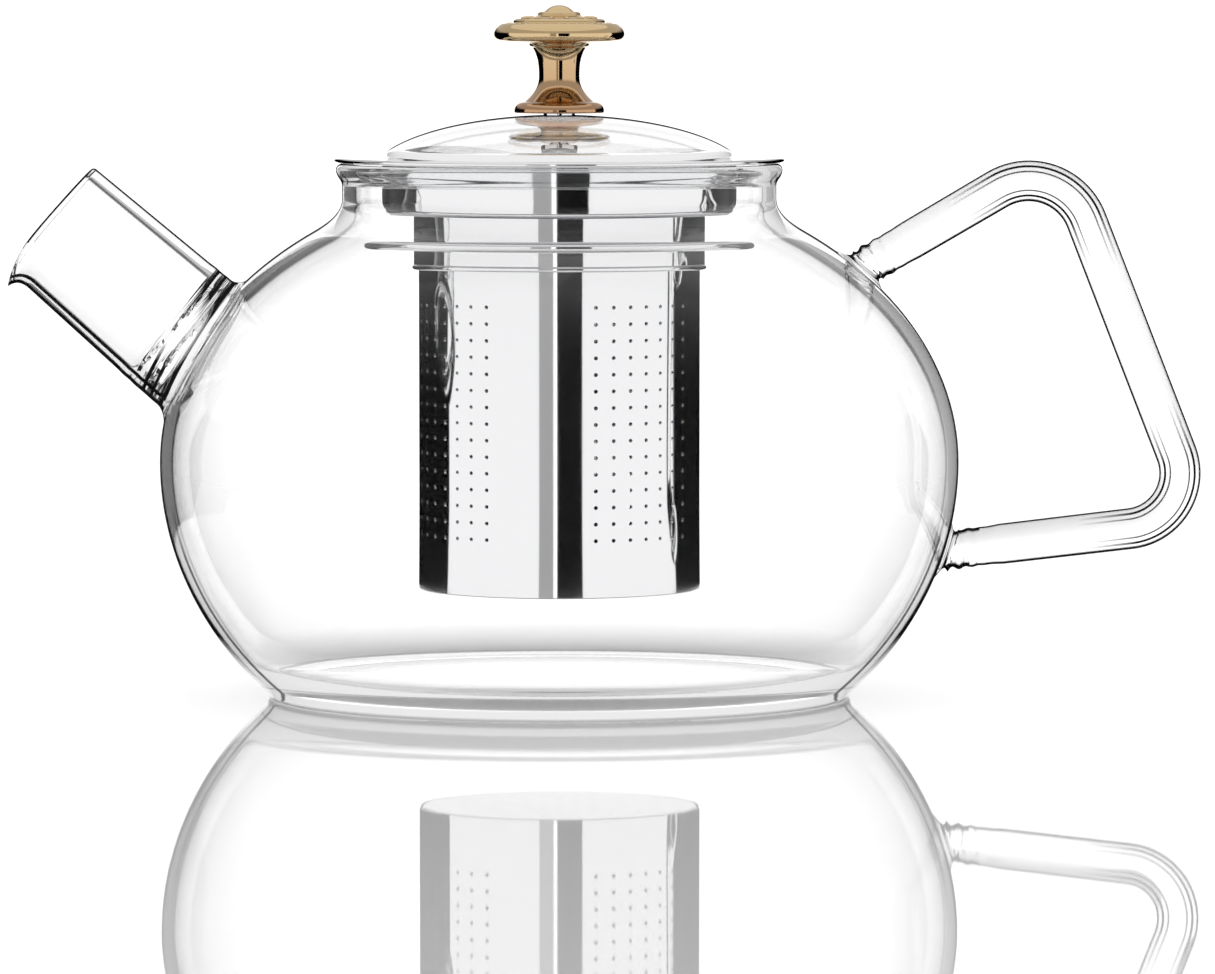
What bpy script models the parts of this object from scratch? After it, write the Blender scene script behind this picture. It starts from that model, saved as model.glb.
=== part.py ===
# Glass teapot with a lift-out steel infuser and a glass lid.
# Metres, +Z up. The origin is the middle of the flat base, the spout points to -X
# and the handle to +X. Turned pieces are drawn as (radius, height) outlines.

import math

import bmesh
import bpy
from mathutils import Matrix, Vector

MM = 0.001

# Clearance left between pieces that touch
GAP = 0.3 * MM

# Facets round the turned pieces
WIDE_SIDES = 40
NARROW_SIDES = 20
BASKET_SIDES = 48

# Pot: two half ellipses that meet at the widest height, cut off by the flat base
BELLY_RADIUS = 77.9 * MM
BELLY_HEIGHT = 46.0 * MM
LOWER_HALF = 66.0 * MM
UPPER_HALF = 57.0 * MM
POT_WALL = 2.2 * MM
POT_FLOOR = 3.0 * MM
SHOULDER_ANGLE = 52.0
NECK_OUTER = 42.3 * MM
NECK_INNER = 39.7 * MM
NECK_FOOT = 97.3 * MM
LIP_OUTER = 43.5 * MM
RIM_HEIGHT = 104.1 * MM

# Spout: a tube along a slanting axis
SPOUT_ANGLE = 41.0
SPOUT_MOUTH = Vector((-99.3, 0.0, 93.7)) * MM
SPOUT_LENGTH = 34.4 * MM
SPOUT_ROOT_RADIUS = 13.9 * MM
SPOUT_MOUTH_RADIUS = 13.0 * MM
SPOUT_WALL = 1.9 * MM
SPOUT_FOOT_FLARE = 1.7 * MM
SPOUT_BURIED = 7.0 * MM
LIP_LENGTH = 6.0 * MM
LIP_OUT = 2.9 * MM
LIP_BACK = 2.6 * MM

# Handle: a rod that follows four corners, two of them rounded
HANDLE_START = Vector((53.0, 0.0, 80.15)) * MM
HANDLE_TOP_CORNER = Vector((97.6, 0.0, 106.3)) * MM
HANDLE_LOW_CORNER = Vector((125.6, 0.0, 34.5)) * MM
HANDLE_END = Vector((69.0, 0.0, 27.85)) * MM
HANDLE_TOP_BEND = 12.1 * MM
HANDLE_LOW_BEND = 10.9 * MM
HANDLE_RADIUS = 3.75 * MM
HANDLE_GRIP_EXTRA = 0.45 * MM
HANDLE_FOOT_EXTRA = 2.2 * MM
HANDLE_SIDES = 12

# Infuser: brim and cup, sleeve and flange, perforated basket
STEEL = 0.8 * MM
BRIM_RADIUS = 44.1 * MM
BRIM_TOP = 105.3 * MM
CUP_RADIUS = 34.6 * MM
CUP_BOTTOM = 93.5 * MM
CUP_CORNER = 1.2 * MM
SLEEVE_INNER = 27.95 * MM
SLEEVE_OUTER = 28.55 * MM
SLEEVE_BOTTOM = 83.7 * MM
FLANGE_RADIUS = 38.2 * MM
FLANGE_HEIGHT = 88.3 * MM
FLANGE_ROLL = 0.9 * MM
BASKET_RADIUS = 27.6 * MM
BASKET_WALL = 0.5 * MM
BASKET_BOTTOM = 21.3 * MM
SEAL_BOTTOM = 100.9 * MM

# Perforations: patches of square holes round the basket, rings of them in its base
HOLE_SIZE = 0.65 * MM
PATCHES = 4
PATCH_COLUMNS = 7
PATCH_FIRST = -75.0
HOLE_ROWS = 15
TOP_ROW = 77.0 * MM
ROW_STEP = 3.19 * MM
BASE_RINGS = 3
BASE_RING_STEP = 6.6 * MM

# Lid: a dome whose middle surface is a half ellipse
DOME_RADIUS = 36.75 * MM
DOME_RISE = 12.25 * MM
DOME_CENTRE = 100.4 * MM
DOME_HALF_WALL = 1.0 * MM
DOME_EDGE = 32.85 * MM
DOME_HOLE = 3.4 * MM

# Knob and what clamps it to the glass
KNOB_BOTTOM = 114.0 * MM
KNOB_TOP = 135.0 * MM
KNOB_RECESS = 7.3 * MM
THREAD_HOLE = 2.0 * MM
SCREW_RADIUS = 1.7 * MM
WASHER_BOTTOM = 109.7 * MM
WASHER_RADIUS = 9.9 * MM
WASHER_NECK = 3.1 * MM
SCREW_HEAD = 3.6 * MM

# Colour, metallic, roughness and transmission of each finish
FINISHES = {
    "clear_glass": ((0.97, 0.985, 0.98), 0.0, 0.0, 1.0),
    "polished_steel": ((0.72, 0.72, 0.73), 1.0, 0.12, 0.0),
    "gold_plate": ((0.86, 0.64, 0.38), 1.0, 0.15, 0.0),
    "clear_silicone": ((0.92, 0.93, 0.93), 0.0, 0.35, 0.6),
}


def polar(centre, reach, degrees):
    """A point at an angle from the +radius direction; reach is (radius, height)."""
    turn = math.radians(degrees)
    return (centre[0] + reach[0] * math.cos(turn), centre[1] + reach[1] * math.sin(turn))


def arc(centre, reach, start, end, steps):
    """Points along part of an ellipse in the outline plane, both ends included."""
    return [polar(centre, reach, start + (end - start) * i / steps) for i in range(steps + 1)]


def blend(first, first_pull, last_pull, last, steps):
    """Points inside a cubic curve between two outline points, without the ends."""
    points = []
    for i in range(1, steps):
        t = i / steps
        weights = ((1 - t) ** 3, 3 * t * (1 - t) ** 2, 3 * t * t * (1 - t), t**3)
        corners = (first, first_pull, last_pull, last)
        points.append(tuple(sum(w * c[k] for w, c in zip(weights, corners)) for k in (0, 1)))
    return points


def link(name, mesh, finish, group):
    """Puts a mesh in the scene with its own material, under its group's empty."""
    piece = bpy.data.objects.new(name, mesh)
    bpy.context.scene.collection.objects.link(piece)
    colour, metallic, roughness, transmission = FINISHES[finish]
    material = bpy.data.materials.new(name + "_" + finish)
    material.use_nodes = True
    shader = material.node_tree.nodes["Principled BSDF"]
    shader.inputs["Base Color"].default_value = (*colour, 1.0)
    shader.inputs["Metallic"].default_value = metallic
    shader.inputs["Roughness"].default_value = roughness
    shader.inputs["Transmission Weight"].default_value = transmission
    mesh.materials.append(material)
    mesh.shade_smooth()
    mesh.set_sharp_from_angle(angle=math.radians(32.0))
    piece.parent = group
    piece.matrix_parent_inverse = group.matrix_world.inverted()
    return piece


def finished_mesh(name, work):
    """Turns closed bmesh geometry into a mesh whose faces point outwards."""
    bmesh.ops.recalc_face_normals(work, faces=work.faces)
    mesh = bpy.data.meshes.new(name)
    work.to_mesh(mesh)
    work.free()
    return mesh


def skin_rings(work, rings, closed):
    """Joins neighbouring rings of vertices with faces; a ring of one vertex is a tip."""
    pairs = list(zip(rings, rings[1:]))
    if closed:
        pairs.append((rings[-1], rings[0]))
    for low, high in pairs:
        sides = max(len(low), len(high))
        for i in range(sides):
            j = (i + 1) % sides
            corners = (low[i % len(low)], low[j % len(low)], high[j % len(high)], high[i % len(high)])
            corners = list(dict.fromkeys(corners))
            work.faces.new(corners)


def turned_mesh(name, outline, sides):
    """Turns an outline about Z. It is a closed loop unless it starts and ends on the axis."""
    work = bmesh.new()
    rings = []
    for radius, height in outline:
        if radius == 0.0:
            rings.append([work.verts.new((0.0, 0.0, height))])
            continue
        turns = [math.tau * i / sides for i in range(sides)]
        places = [(radius * math.cos(a), radius * math.sin(a), height) for a in turns]
        rings.append([work.verts.new(place) for place in places])
    skin_rings(work, rings, closed=outline[0][0] > 0.0)
    return finished_mesh(name, work)


def cutter(name, mesh):
    """A helper that is only used by a Boolean."""
    helper = bpy.data.objects.new(name, mesh)
    bpy.context.scene.collection.objects.link(helper)
    helper.hide_render = True
    helper.display_type = "WIRE"
    return helper


def cut(piece, helper):
    boolean = piece.modifiers.new("cut_" + helper.name, "BOOLEAN")
    boolean.operation = "DIFFERENCE"
    boolean.solver = "EXACT"
    boolean.object = helper


def group_empty(name, height, parent=None):
    """The empty that a moving body hangs from, on the axis it slides along."""
    group = bpy.data.objects.new(name, None)
    bpy.context.scene.collection.objects.link(group)
    group.parent = parent
    group.location = (0.0, 0.0, height - (parent.location.z if parent else 0.0))
    bpy.context.view_layer.update()
    return group


# ---------------------------------------------------------------- pot


def belly_outer(grow=0.0):
    """The globe's outline from the base's edge to the shoulder, grown outwards by an amount."""
    middle = (0.0, BELLY_HEIGHT)
    lower = (BELLY_RADIUS + grow, LOWER_HALF + grow)
    upper = (BELLY_RADIUS + grow, UPPER_HALF + grow)
    start = -math.degrees(math.asin((BELLY_HEIGHT - 1.2 * MM) / lower[1]))
    return arc(middle, lower, start, 0.0, 7)[:-1] + arc(middle, upper, 0.0, SHOULDER_ANGLE, 7)


def pot_outline():
    wall = POT_WALL
    belly = belly_outer()
    base_edge = (belly[0][0] - 1.6 * MM, 0.0)
    outer = [(0.0, 0.0), base_edge, (belly[0][0] - 0.5 * MM, 0.35 * MM)] + belly
    shoulder = belly[-1]
    neck = (NECK_OUTER, NECK_FOOT)
    outer += blend(shoulder, (45.2 * MM, 92.5 * MM), (NECK_OUTER, 94.5 * MM), neck, 4)
    lip = [
        neck,
        (NECK_OUTER, RIM_HEIGHT - 3.3 * MM),
        (LIP_OUTER - 0.3 * MM, RIM_HEIGHT - 1.5 * MM),
        (LIP_OUTER, RIM_HEIGHT - 0.7 * MM),
        (LIP_OUTER - 0.8 * MM, RIM_HEIGHT),
        (NECK_INNER + 1.1 * MM, RIM_HEIGHT),
        (NECK_INNER, RIM_HEIGHT - 1.2 * MM),
    ]
    inner_reach_upper = (BELLY_RADIUS - wall, UPPER_HALF - wall)
    inner_reach_lower = (BELLY_RADIUS - wall, LOWER_HALF - wall)
    inside = arc((0.0, BELLY_HEIGHT), inner_reach_upper, SHOULDER_ANGLE, 0.0, 6)
    neck_inside = (NECK_INNER, NECK_FOOT - 1.0 * MM)
    throat = blend(neck_inside, (NECK_INNER, 93.3 * MM), (43.2 * MM, 91.0 * MM), inside[0], 4)
    heel = arc((0.0, BELLY_HEIGHT), inner_reach_lower, 0.0, -36.0, 5)[1:]
    floor_edge = (50.0 * MM, POT_FLOOR)
    floor = blend(heel[-1], (58.8 * MM, 5.8 * MM), (55.0 * MM, POT_FLOOR), floor_edge, 3)
    return outer + lip + [neck_inside] + throat + inside + heel + floor + [floor_edge, (0.0, POT_FLOOR)]


def spout_frame():
    """Turns local +Z into the spout's axis and local +X into its lower side."""
    along = Vector((-math.cos(math.radians(SPOUT_ANGLE)), 0.0, math.sin(math.radians(SPOUT_ANGLE))))
    below = Vector((-along.z, 0.0, along.x))
    turn = Matrix((below, along.cross(below), along)).transposed().to_4x4()
    return Matrix.Translation(SPOUT_MOUTH - along * SPOUT_LENGTH) @ turn


def spout_bore():
    """The bore's cutter, from inside the globe to well past its wall."""
    radius = SPOUT_ROOT_RADIUS - SPOUT_WALL
    bore = [(0.0, 12.0 * MM), (radius, 12.0 * MM), (radius, -14.0 * MM), (0.0, -14.0 * MM)]
    mesh = turned_mesh("spout_bore", bore, 32)
    mesh.transform(spout_frame())
    return cutter("spout_bore", mesh)


def spout_mesh():
    """A turned tube whose mouth is pulled out and back on its lower side to pour."""
    outer = [(SPOUT_ROOT_RADIUS + SPOUT_FOOT_FLARE, -SPOUT_BURIED)]
    for height in (0.6, 1.8, 3.2, 5.0, 8.0):
        flare = SPOUT_FOOT_FLARE * math.exp(-height / 2.4)
        outer.append((SPOUT_ROOT_RADIUS + flare, height * MM))
    outer += [
        (SPOUT_MOUTH_RADIUS, SPOUT_LENGTH - LIP_LENGTH),
        (SPOUT_MOUTH_RADIUS, SPOUT_LENGTH - 0.6 * LIP_LENGTH),
        (SPOUT_MOUTH_RADIUS, SPOUT_LENGTH - 0.3 * LIP_LENGTH),
        (SPOUT_MOUTH_RADIUS, SPOUT_LENGTH - 0.5 * MM),
        (SPOUT_MOUTH_RADIUS - 0.5 * MM, SPOUT_LENGTH),
        (SPOUT_MOUTH_RADIUS - SPOUT_WALL + 0.4 * MM, SPOUT_LENGTH),
    ]
    inner_mouth = SPOUT_MOUTH_RADIUS - SPOUT_WALL
    inner = [
        (inner_mouth, SPOUT_LENGTH - 0.5 * MM),
        (inner_mouth, SPOUT_LENGTH - 0.3 * LIP_LENGTH),
        (inner_mouth, SPOUT_LENGTH - 0.6 * LIP_LENGTH),
        (inner_mouth, SPOUT_LENGTH - LIP_LENGTH),
        (SPOUT_ROOT_RADIUS - SPOUT_WALL, 8.0 * MM),
        (SPOUT_ROOT_RADIUS - SPOUT_WALL, -SPOUT_BURIED),
    ]
    mesh = turned_mesh("spout", outer + inner, 32)
    for vertex in mesh.vertices:
        reach = max(0.0, (vertex.co.z - SPOUT_LENGTH + LIP_LENGTH) / LIP_LENGTH)
        side = max(0.0, vertex.co.x / math.hypot(vertex.co.x, vertex.co.y))
        pull = reach**2 * side**4
        vertex.co.x += LIP_OUT * pull
        vertex.co.z -= LIP_BACK * pull
    mesh.transform(spout_frame())
    return mesh


def rounded_path(corners, bends, steps):
    """Points along a run of straight stretches whose inner corners are rounded."""
    path = [corners[0]]
    for before, corner, after, radius in zip(corners, corners[1:], corners[2:], bends):
        back = (before - corner).normalized()
        ahead = (after - corner).normalized()
        half = back.angle(ahead) / 2
        middle = corner + (back + ahead).normalized() * radius / math.sin(half)
        first = corner + back * radius / math.tan(half)
        spoke = first - middle
        sweep = math.pi - 2 * half
        axis = back.cross(ahead)
        for i in range(steps + 1):
            path.append(middle + Matrix.Rotation(-sweep * i / steps, 3, axis) @ spoke)
    path.append(corners[-1])
    return path


def densified(path, longest):
    """The path with extra points, so that no stretch is longer than given."""
    dense = [path[0]]
    for start, end in zip(path, path[1:]):
        pieces = max(1, math.ceil((end - start).length / longest))
        dense += [start.lerp(end, i / pieces) for i in range(1, pieces + 1)]
    return dense


def handle_mesh():
    """A rod swept along the handle's path, thicker along the grip and at its two feet."""
    corners = (HANDLE_START, HANDLE_TOP_CORNER, HANDLE_LOW_CORNER, HANDLE_END)
    path = densified(rounded_path(corners, (HANDLE_TOP_BEND, HANDLE_LOW_BEND), 7), 6.0 * MM)
    work = bmesh.new()
    rings = []
    length = sum((b - a).length for a, b in zip(path, path[1:]))
    walked = 0.0
    for i, point in enumerate(path):
        ahead = path[min(i + 1, len(path) - 1)] - path[max(i - 1, 0)]
        across = ahead.normalized().cross(Vector((0.0, 1.0, 0.0)))
        walked += (point - path[i - 1]).length if i else 0.0
        grip = math.sin(math.pi * walked / length) ** 2
        to_end = min(walked, length - walked) - 6.0 * MM
        foot = math.exp(-max(0.0, to_end) / (2.2 * MM))
        radius = HANDLE_RADIUS + HANDLE_GRIP_EXTRA * grip + HANDLE_FOOT_EXTRA * foot
        ring = []
        for k in range(HANDLE_SIDES):
            turn = math.tau * k / HANDLE_SIDES
            spoke = across * math.cos(turn) + Vector((0.0, 1.0, 0.0)) * math.sin(turn)
            ring.append(work.verts.new(point + spoke * radius))
        rings.append(ring)
    skin_rings(work, rings, closed=False)
    work.faces.new(rings[0])
    work.faces.new(rings[-1])
    return finished_mesh("handle", work)


def make_pot():
    pot = group_empty("pot", 0.0)
    bore = spout_bore()
    body = link("pot_body", turned_mesh("pot_body", pot_outline(), WIDE_SIDES), "clear_glass", pot)
    cut(body, bore)
    outline = [(0.0, -GAP)] + belly_outer(GAP)
    outline[1] = (outline[1][0], -GAP)
    outline.append((0.0, outline[-1][1]))
    grown = cutter("pot_clearance", turned_mesh("pot_clearance", outline, WIDE_SIDES))
    cut(link("spout", spout_mesh(), "clear_glass", pot), grown)
    cut(link("handle", handle_mesh(), "clear_glass", pot), grown)
    return pot


# ---------------------------------------------------------------- infuser


def collar_outline():
    """Brim, cup wall and cup floor, as one bent sheet."""
    underside = BRIM_TOP - STEEL - 0.1 * MM
    cup_inner = CUP_RADIUS - STEEL
    floor_top = CUP_BOTTOM + STEEL
    corner_middle = (CUP_RADIUS - CUP_CORNER, CUP_BOTTOM + CUP_CORNER)
    outer_corner = arc(corner_middle, (CUP_CORNER, CUP_CORNER), -90.0, 0.0, 3)
    shoulder_middle = (cup_inner + CUP_CORNER, BRIM_TOP - CUP_CORNER)
    shoulder = arc(shoulder_middle, (CUP_CORNER, CUP_CORNER), 90.0, 180.0, 3)
    brim = [
        (CUP_RADIUS + 0.3 * MM, underside),
        (BRIM_RADIUS - 0.8 * MM, underside),
        (BRIM_RADIUS, underside + 0.35 * MM),
        (BRIM_RADIUS, BRIM_TOP - 0.2 * MM),
        (BRIM_RADIUS - 0.5 * MM, BRIM_TOP + 0.1 * MM),
        (BRIM_RADIUS - 1.1 * MM, BRIM_TOP),
    ]
    hole = SLEEVE_INNER - 0.6 * MM
    inside = [(cup_inner, floor_top + 0.5 * MM), (cup_inner - 0.5 * MM, floor_top), (hole, floor_top)]
    return [(hole, CUP_BOTTOM)] + outer_corner + brim + shoulder + inside


def flange_outline():
    """A thin sleeve with a wide flange part-way up, ending in a rolled edge."""
    top = CUP_BOTTOM - GAP
    half = 0.35 * MM
    roll_centre = (FLANGE_RADIUS - FLANGE_ROLL, FLANGE_HEIGHT)
    roll = arc(roll_centre, (FLANGE_ROLL, FLANGE_ROLL), -150.0, 150.0, 7)
    return (
        [(SLEEVE_INNER, SLEEVE_BOTTOM), (SLEEVE_OUTER + 0.3 * MM, SLEEVE_BOTTOM)]
        + [(SLEEVE_OUTER + 0.3 * MM, SLEEVE_BOTTOM + 0.7 * MM), (SLEEVE_OUTER, SLEEVE_BOTTOM + 1.0 * MM)]
        + [(SLEEVE_OUTER, FLANGE_HEIGHT - half)]
        + roll
        + [(SLEEVE_OUTER, FLANGE_HEIGHT + half), (SLEEVE_OUTER, top), (SLEEVE_INNER, top)]
    )


def seal_outline():
    """A soft ring between the cup and the neck, with two rounded sealing ribs."""
    inner = CUP_RADIUS + GAP
    outer = NECK_INNER - GAP
    top = RIM_HEIGHT - 0.2 * MM
    return [
        (inner, SEAL_BOTTOM),
        (outer - 1.6 * MM, SEAL_BOTTOM),
        (outer, SEAL_BOTTOM + 0.8 * MM),
        (outer - 0.7 * MM, (SEAL_BOTTOM + top) / 2),
        (outer, top - 0.8 * MM),
        (outer - 0.6 * MM, top),
        (inner, top),
    ]


def add_pin(work, centre, outward, up, depth):
    """A square pin, as deep as given on both sides of its centre, that cuts one hole."""
    across = up.cross(outward)
    half = HOLE_SIZE / 2
    ends = []
    for reach in (-depth, depth):
        middle = centre + outward * reach
        signs = ((-1, -1), (1, -1), (1, 1), (-1, 1))
        ends.append([work.verts.new(middle + across * (a * half) + up * (b * half)) for a, b in signs])
    skin_rings(work, ends, closed=False)
    work.faces.new(ends[0])
    work.faces.new(ends[1])


def basket_pins():
    """Cutters for the patches of holes: one column on each facet of a patch."""
    work = bmesh.new()
    facet = 360.0 / BASKET_SIDES
    flat_radius = BASKET_RADIUS * math.cos(math.radians(facet / 2)) - BASKET_WALL / 2
    for patch in range(PATCHES):
        for column in range(PATCH_COLUMNS):
            turn = math.radians(PATCH_FIRST + patch * 360.0 / PATCHES + column * facet)
            outward = Vector((math.cos(turn), math.sin(turn), 0.0))
            for row in range(HOLE_ROWS):
                centre = outward * flat_radius
                centre.z = TOP_ROW - row * ROW_STEP
                add_pin(work, centre, outward, Vector((0.0, 0.0, 1.0)), 2.0 * BASKET_WALL)
    return cutter("basket_pins", finished_mesh("basket_pins", work))


def base_pins(middle_height):
    """Cutters for the drain holes: one in the middle and rings of 6, 12, 18 ... round it."""
    work = bmesh.new()
    for ring in range(BASE_RINGS + 1):
        count = max(1, 6 * ring)
        for i in range(count):
            turn = math.tau * i / count
            spoke = Vector((math.cos(turn), math.sin(turn), 0.0))
            centre = spoke * (ring * BASE_RING_STEP)
            centre.z = middle_height
            add_pin(work, centre, Vector((0.0, 0.0, 1.0)), spoke, 2.0 * STEEL)
    return cutter("base_pins", finished_mesh("base_pins", work))


def make_infuser(pot):
    infuser = group_empty("infuser", RIM_HEIGHT, pot)
    collar = turned_mesh("infuser_collar", collar_outline(), WIDE_SIDES)
    link("infuser_collar", collar, "polished_steel", infuser)
    seal = turned_mesh("infuser_seal", seal_outline(), WIDE_SIDES)
    link("infuser_seal", seal, "clear_silicone", infuser)
    flange = turned_mesh("infuser_flange", flange_outline(), WIDE_SIDES)
    link("infuser_flange", flange, "polished_steel", infuser)
    top = CUP_BOTTOM - GAP
    bore = BASKET_RADIUS - BASKET_WALL
    tube = [(bore, BASKET_BOTTOM), (BASKET_RADIUS, BASKET_BOTTOM), (BASKET_RADIUS, top), (bore, top)]
    tube_mesh = turned_mesh("infuser_basket", tube, BASKET_SIDES)
    tube_mesh.transform(Matrix.Rotation(math.pi / BASKET_SIDES, 4, "Z"))
    cut(link("infuser_basket", tube_mesh, "polished_steel", infuser), basket_pins())
    base_top = BASKET_BOTTOM + STEEL
    edge = bore - GAP
    disc = [(0.0, BASKET_BOTTOM), (edge, BASKET_BOTTOM), (edge, base_top), (0.0, base_top)]
    base = link("infuser_base", turned_mesh("infuser_base", disc, WIDE_SIDES), "polished_steel", infuser)
    cut(base, base_pins(BASKET_BOTTOM + STEEL / 2))
    return infuser


# ---------------------------------------------------------------- lid


def dome_height(radius):
    """Height of the dome's middle surface."""
    return DOME_CENTRE + DOME_RISE * math.sqrt(1.0 - (radius / DOME_RADIUS) ** 2)


def dome_outline():
    """The dome's wall: its middle surface thickened both ways, with a round edge."""
    last = math.degrees(math.acos(DOME_EDGE / DOME_RADIUS))
    first = math.degrees(math.acos((DOME_HOLE + 0.1 * MM) / DOME_RADIUS))
    middle = arc((0.0, DOME_CENTRE), (DOME_RADIUS, DOME_RISE), first, last, 7)
    middle[0] = (DOME_HOLE, middle[0][1])
    top, under = [], []
    for radius, height in middle:
        slope = Vector((radius / DOME_RADIUS**2, (height - DOME_CENTRE) / DOME_RISE**2)).normalized()
        top.append((radius + slope.x * DOME_HALF_WALL, height + slope.y * DOME_HALF_WALL))
        under.append((radius - slope.x * DOME_HALF_WALL, height - slope.y * DOME_HALF_WALL))
    top[0] = (DOME_HOLE, top[0][1])
    under[0] = (DOME_HOLE, under[0][1])
    radius, height = middle[-1]
    facing = math.degrees(math.atan2(top[-1][1] - height, top[-1][0] - radius))
    edge = arc((radius, height), (DOME_HALF_WALL, DOME_HALF_WALL), facing, facing - 180.0, 5)[1:-1]
    return under[::-1] + top + edge


def knob_outline():
    """Flared foot, waisted stem and domed cap with a raised ring and a small boss."""
    bottom, top = KNOB_BOTTOM, KNOB_TOP
    foot = [(8.3 * MM, bottom), (8.8 * MM, bottom + 0.35 * MM), (8.7 * MM, bottom + 0.9 * MM)]
    foot += [(8.0 * MM, bottom + 1.6 * MM), (6.9 * MM, bottom + 2.2 * MM)]
    waist = (4.05 * MM, bottom + 6.4 * MM)
    stem = blend(foot[-1], (5.4 * MM, bottom + 3.1 * MM), (4.15 * MM, bottom + 4.2 * MM), waist, 4)
    stem.append(waist)
    cap_under = (5.6 * MM, bottom + 13.4 * MM)
    stem += blend(waist, (3.95 * MM, bottom + 9.4 * MM), (4.5 * MM, bottom + 12.4 * MM), cap_under, 4)
    cap = [cap_under, (7.4 * MM, bottom + 13.9 * MM), (11.4 * MM, bottom + 14.1 * MM)]
    cap += arc((11.6 * MM, bottom + 15.35 * MM), (1.2 * MM, 1.25 * MM), -70.0, 60.0, 5)
    cap += [(9.2 * MM, top - 3.05 * MM), (8.8 * MM, top - 2.5 * MM), (8.0 * MM, top - 2.3 * MM)]
    cap += [(7.5 * MM, top - 2.55 * MM), (5.0 * MM, top - 1.75 * MM), (2.3 * MM, top - 0.95 * MM)]
    cap += [(2.0 * MM, top - 0.4 * MM), (1.0 * MM, top - 0.08 * MM), (0.0, top)]
    hole_top = bottom + 9.0 * MM
    recess_top = bottom + 1.1 * MM
    hole = [(0.0, hole_top), (THREAD_HOLE, hole_top - 0.6 * MM), (THREAD_HOLE, recess_top)]
    return hole + [(KNOB_RECESS, recess_top), (KNOB_RECESS, bottom)] + foot + stem + cap


def ring_outline(inner, outer, bottom, top):
    return [(inner, bottom), (outer, bottom), (outer, top), (inner, top)]


def washer_outline():
    """A shallow dish under the glass, with a neck that lines the hole in the glass."""
    bore = SCREW_RADIUS + GAP
    low = WASHER_BOTTOM
    return [
        (bore, low),
        (6.0 * MM, low),
        (WASHER_RADIUS - 0.6 * MM, low + 0.45 * MM),
        (WASHER_RADIUS, low + 0.85 * MM),
        (WASHER_RADIUS - 0.3 * MM, low + 1.05 * MM),
        (8.6 * MM, low + 0.8 * MM),
        (5.2 * MM, low + 0.6 * MM),
        (WASHER_NECK + 0.3 * MM, low + 0.8 * MM),
        (WASHER_NECK, low + 1.3 * MM),
        (WASHER_NECK, low + 4.7 * MM),
        (bore, low + 4.7 * MM),
    ]


def screw_outline():
    """Shank up into the knob and a low round head with a hollow for the driver."""
    seat = WASHER_BOTTOM - GAP
    tip = KNOB_BOTTOM + 7.8 * MM
    head = 1.9 * MM
    return [
        (0.0, seat - head + 1.0 * MM),
        (1.2 * MM, seat - head + 0.9 * MM),
        (1.3 * MM, seat - head),
        (2.4 * MM, seat - head + 0.15 * MM),
        (SCREW_HEAD, seat - 0.8 * MM),
        (SCREW_HEAD, seat),
        (SCREW_RADIUS, seat),
        (SCREW_RADIUS, tip - 0.6 * MM),
        (1.1 * MM, tip),
        (0.0, tip),
    ]


def make_lid(infuser):
    lid = group_empty("lid", BRIM_TOP, infuser)
    link("lid_glass", turned_mesh("lid_glass", dome_outline(), WIDE_SIDES), "clear_glass", lid)
    link("knob", turned_mesh("knob", knob_outline(), NARROW_SIDES), "gold_plate", lid)
    upper_pad = ring_outline(DOME_HOLE, KNOB_RECESS - 0.5 * MM, KNOB_BOTTOM + 0.15 * MM, KNOB_BOTTOM + 0.8 * MM)
    link("knob_pad", turned_mesh("knob_pad", upper_pad, NARROW_SIDES), "clear_silicone", lid)
    lower_pad = ring_outline(4.6 * MM, 7.2 * MM, WASHER_BOTTOM + 1.1 * MM, WASHER_BOTTOM + 1.45 * MM)
    link("washer_pad", turned_mesh("washer_pad", lower_pad, NARROW_SIDES), "clear_silicone", lid)
    link("lid_washer", turned_mesh("lid_washer", washer_outline(), NARROW_SIDES), "polished_steel", lid)
    link("knob_screw", turned_mesh("knob_screw", screw_outline(), NARROW_SIDES), "polished_steel", lid)


def main():
    for leftover in list(bpy.data.objects):
        bpy.data.objects.remove(leftover, do_unlink=True)
    pot = make_pot()
    infuser = make_infuser(pot)
    make_lid(infuser)


main()
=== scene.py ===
import math

import bmesh
import bpy
from mathutils import Matrix, Vector


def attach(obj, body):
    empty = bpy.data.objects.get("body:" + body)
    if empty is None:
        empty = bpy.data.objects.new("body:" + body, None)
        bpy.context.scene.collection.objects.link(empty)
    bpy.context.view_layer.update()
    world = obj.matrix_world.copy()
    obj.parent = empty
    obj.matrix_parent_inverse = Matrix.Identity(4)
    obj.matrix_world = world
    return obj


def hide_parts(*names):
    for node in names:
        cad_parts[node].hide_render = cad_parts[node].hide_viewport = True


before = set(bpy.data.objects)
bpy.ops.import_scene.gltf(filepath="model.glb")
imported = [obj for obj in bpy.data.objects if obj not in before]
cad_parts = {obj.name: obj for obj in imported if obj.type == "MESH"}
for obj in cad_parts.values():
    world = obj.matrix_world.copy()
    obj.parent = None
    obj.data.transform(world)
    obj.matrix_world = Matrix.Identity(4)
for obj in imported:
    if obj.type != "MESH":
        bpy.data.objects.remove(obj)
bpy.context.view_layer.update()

mm = 0.001
yAxis = Vector((0.0, 1.0, 0.0))
print("frame loaded:", len(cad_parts), "nodes")


def ellipseArc(centre, reach, start, end, steps):
    # part of an ellipse in the (radius, height) plane, both ends included
    run = []
    for i in range(steps + 1):
        turn = math.radians(start + (end - start) * i / steps)
        run.append((centre[0] + reach[0] * math.cos(turn), centre[1] + reach[1] * math.sin(turn)))
    return run


def roundArc(centre, radius, start, end, steps):
    return ellipseArc(centre, (radius, radius), start, end, steps)


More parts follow.
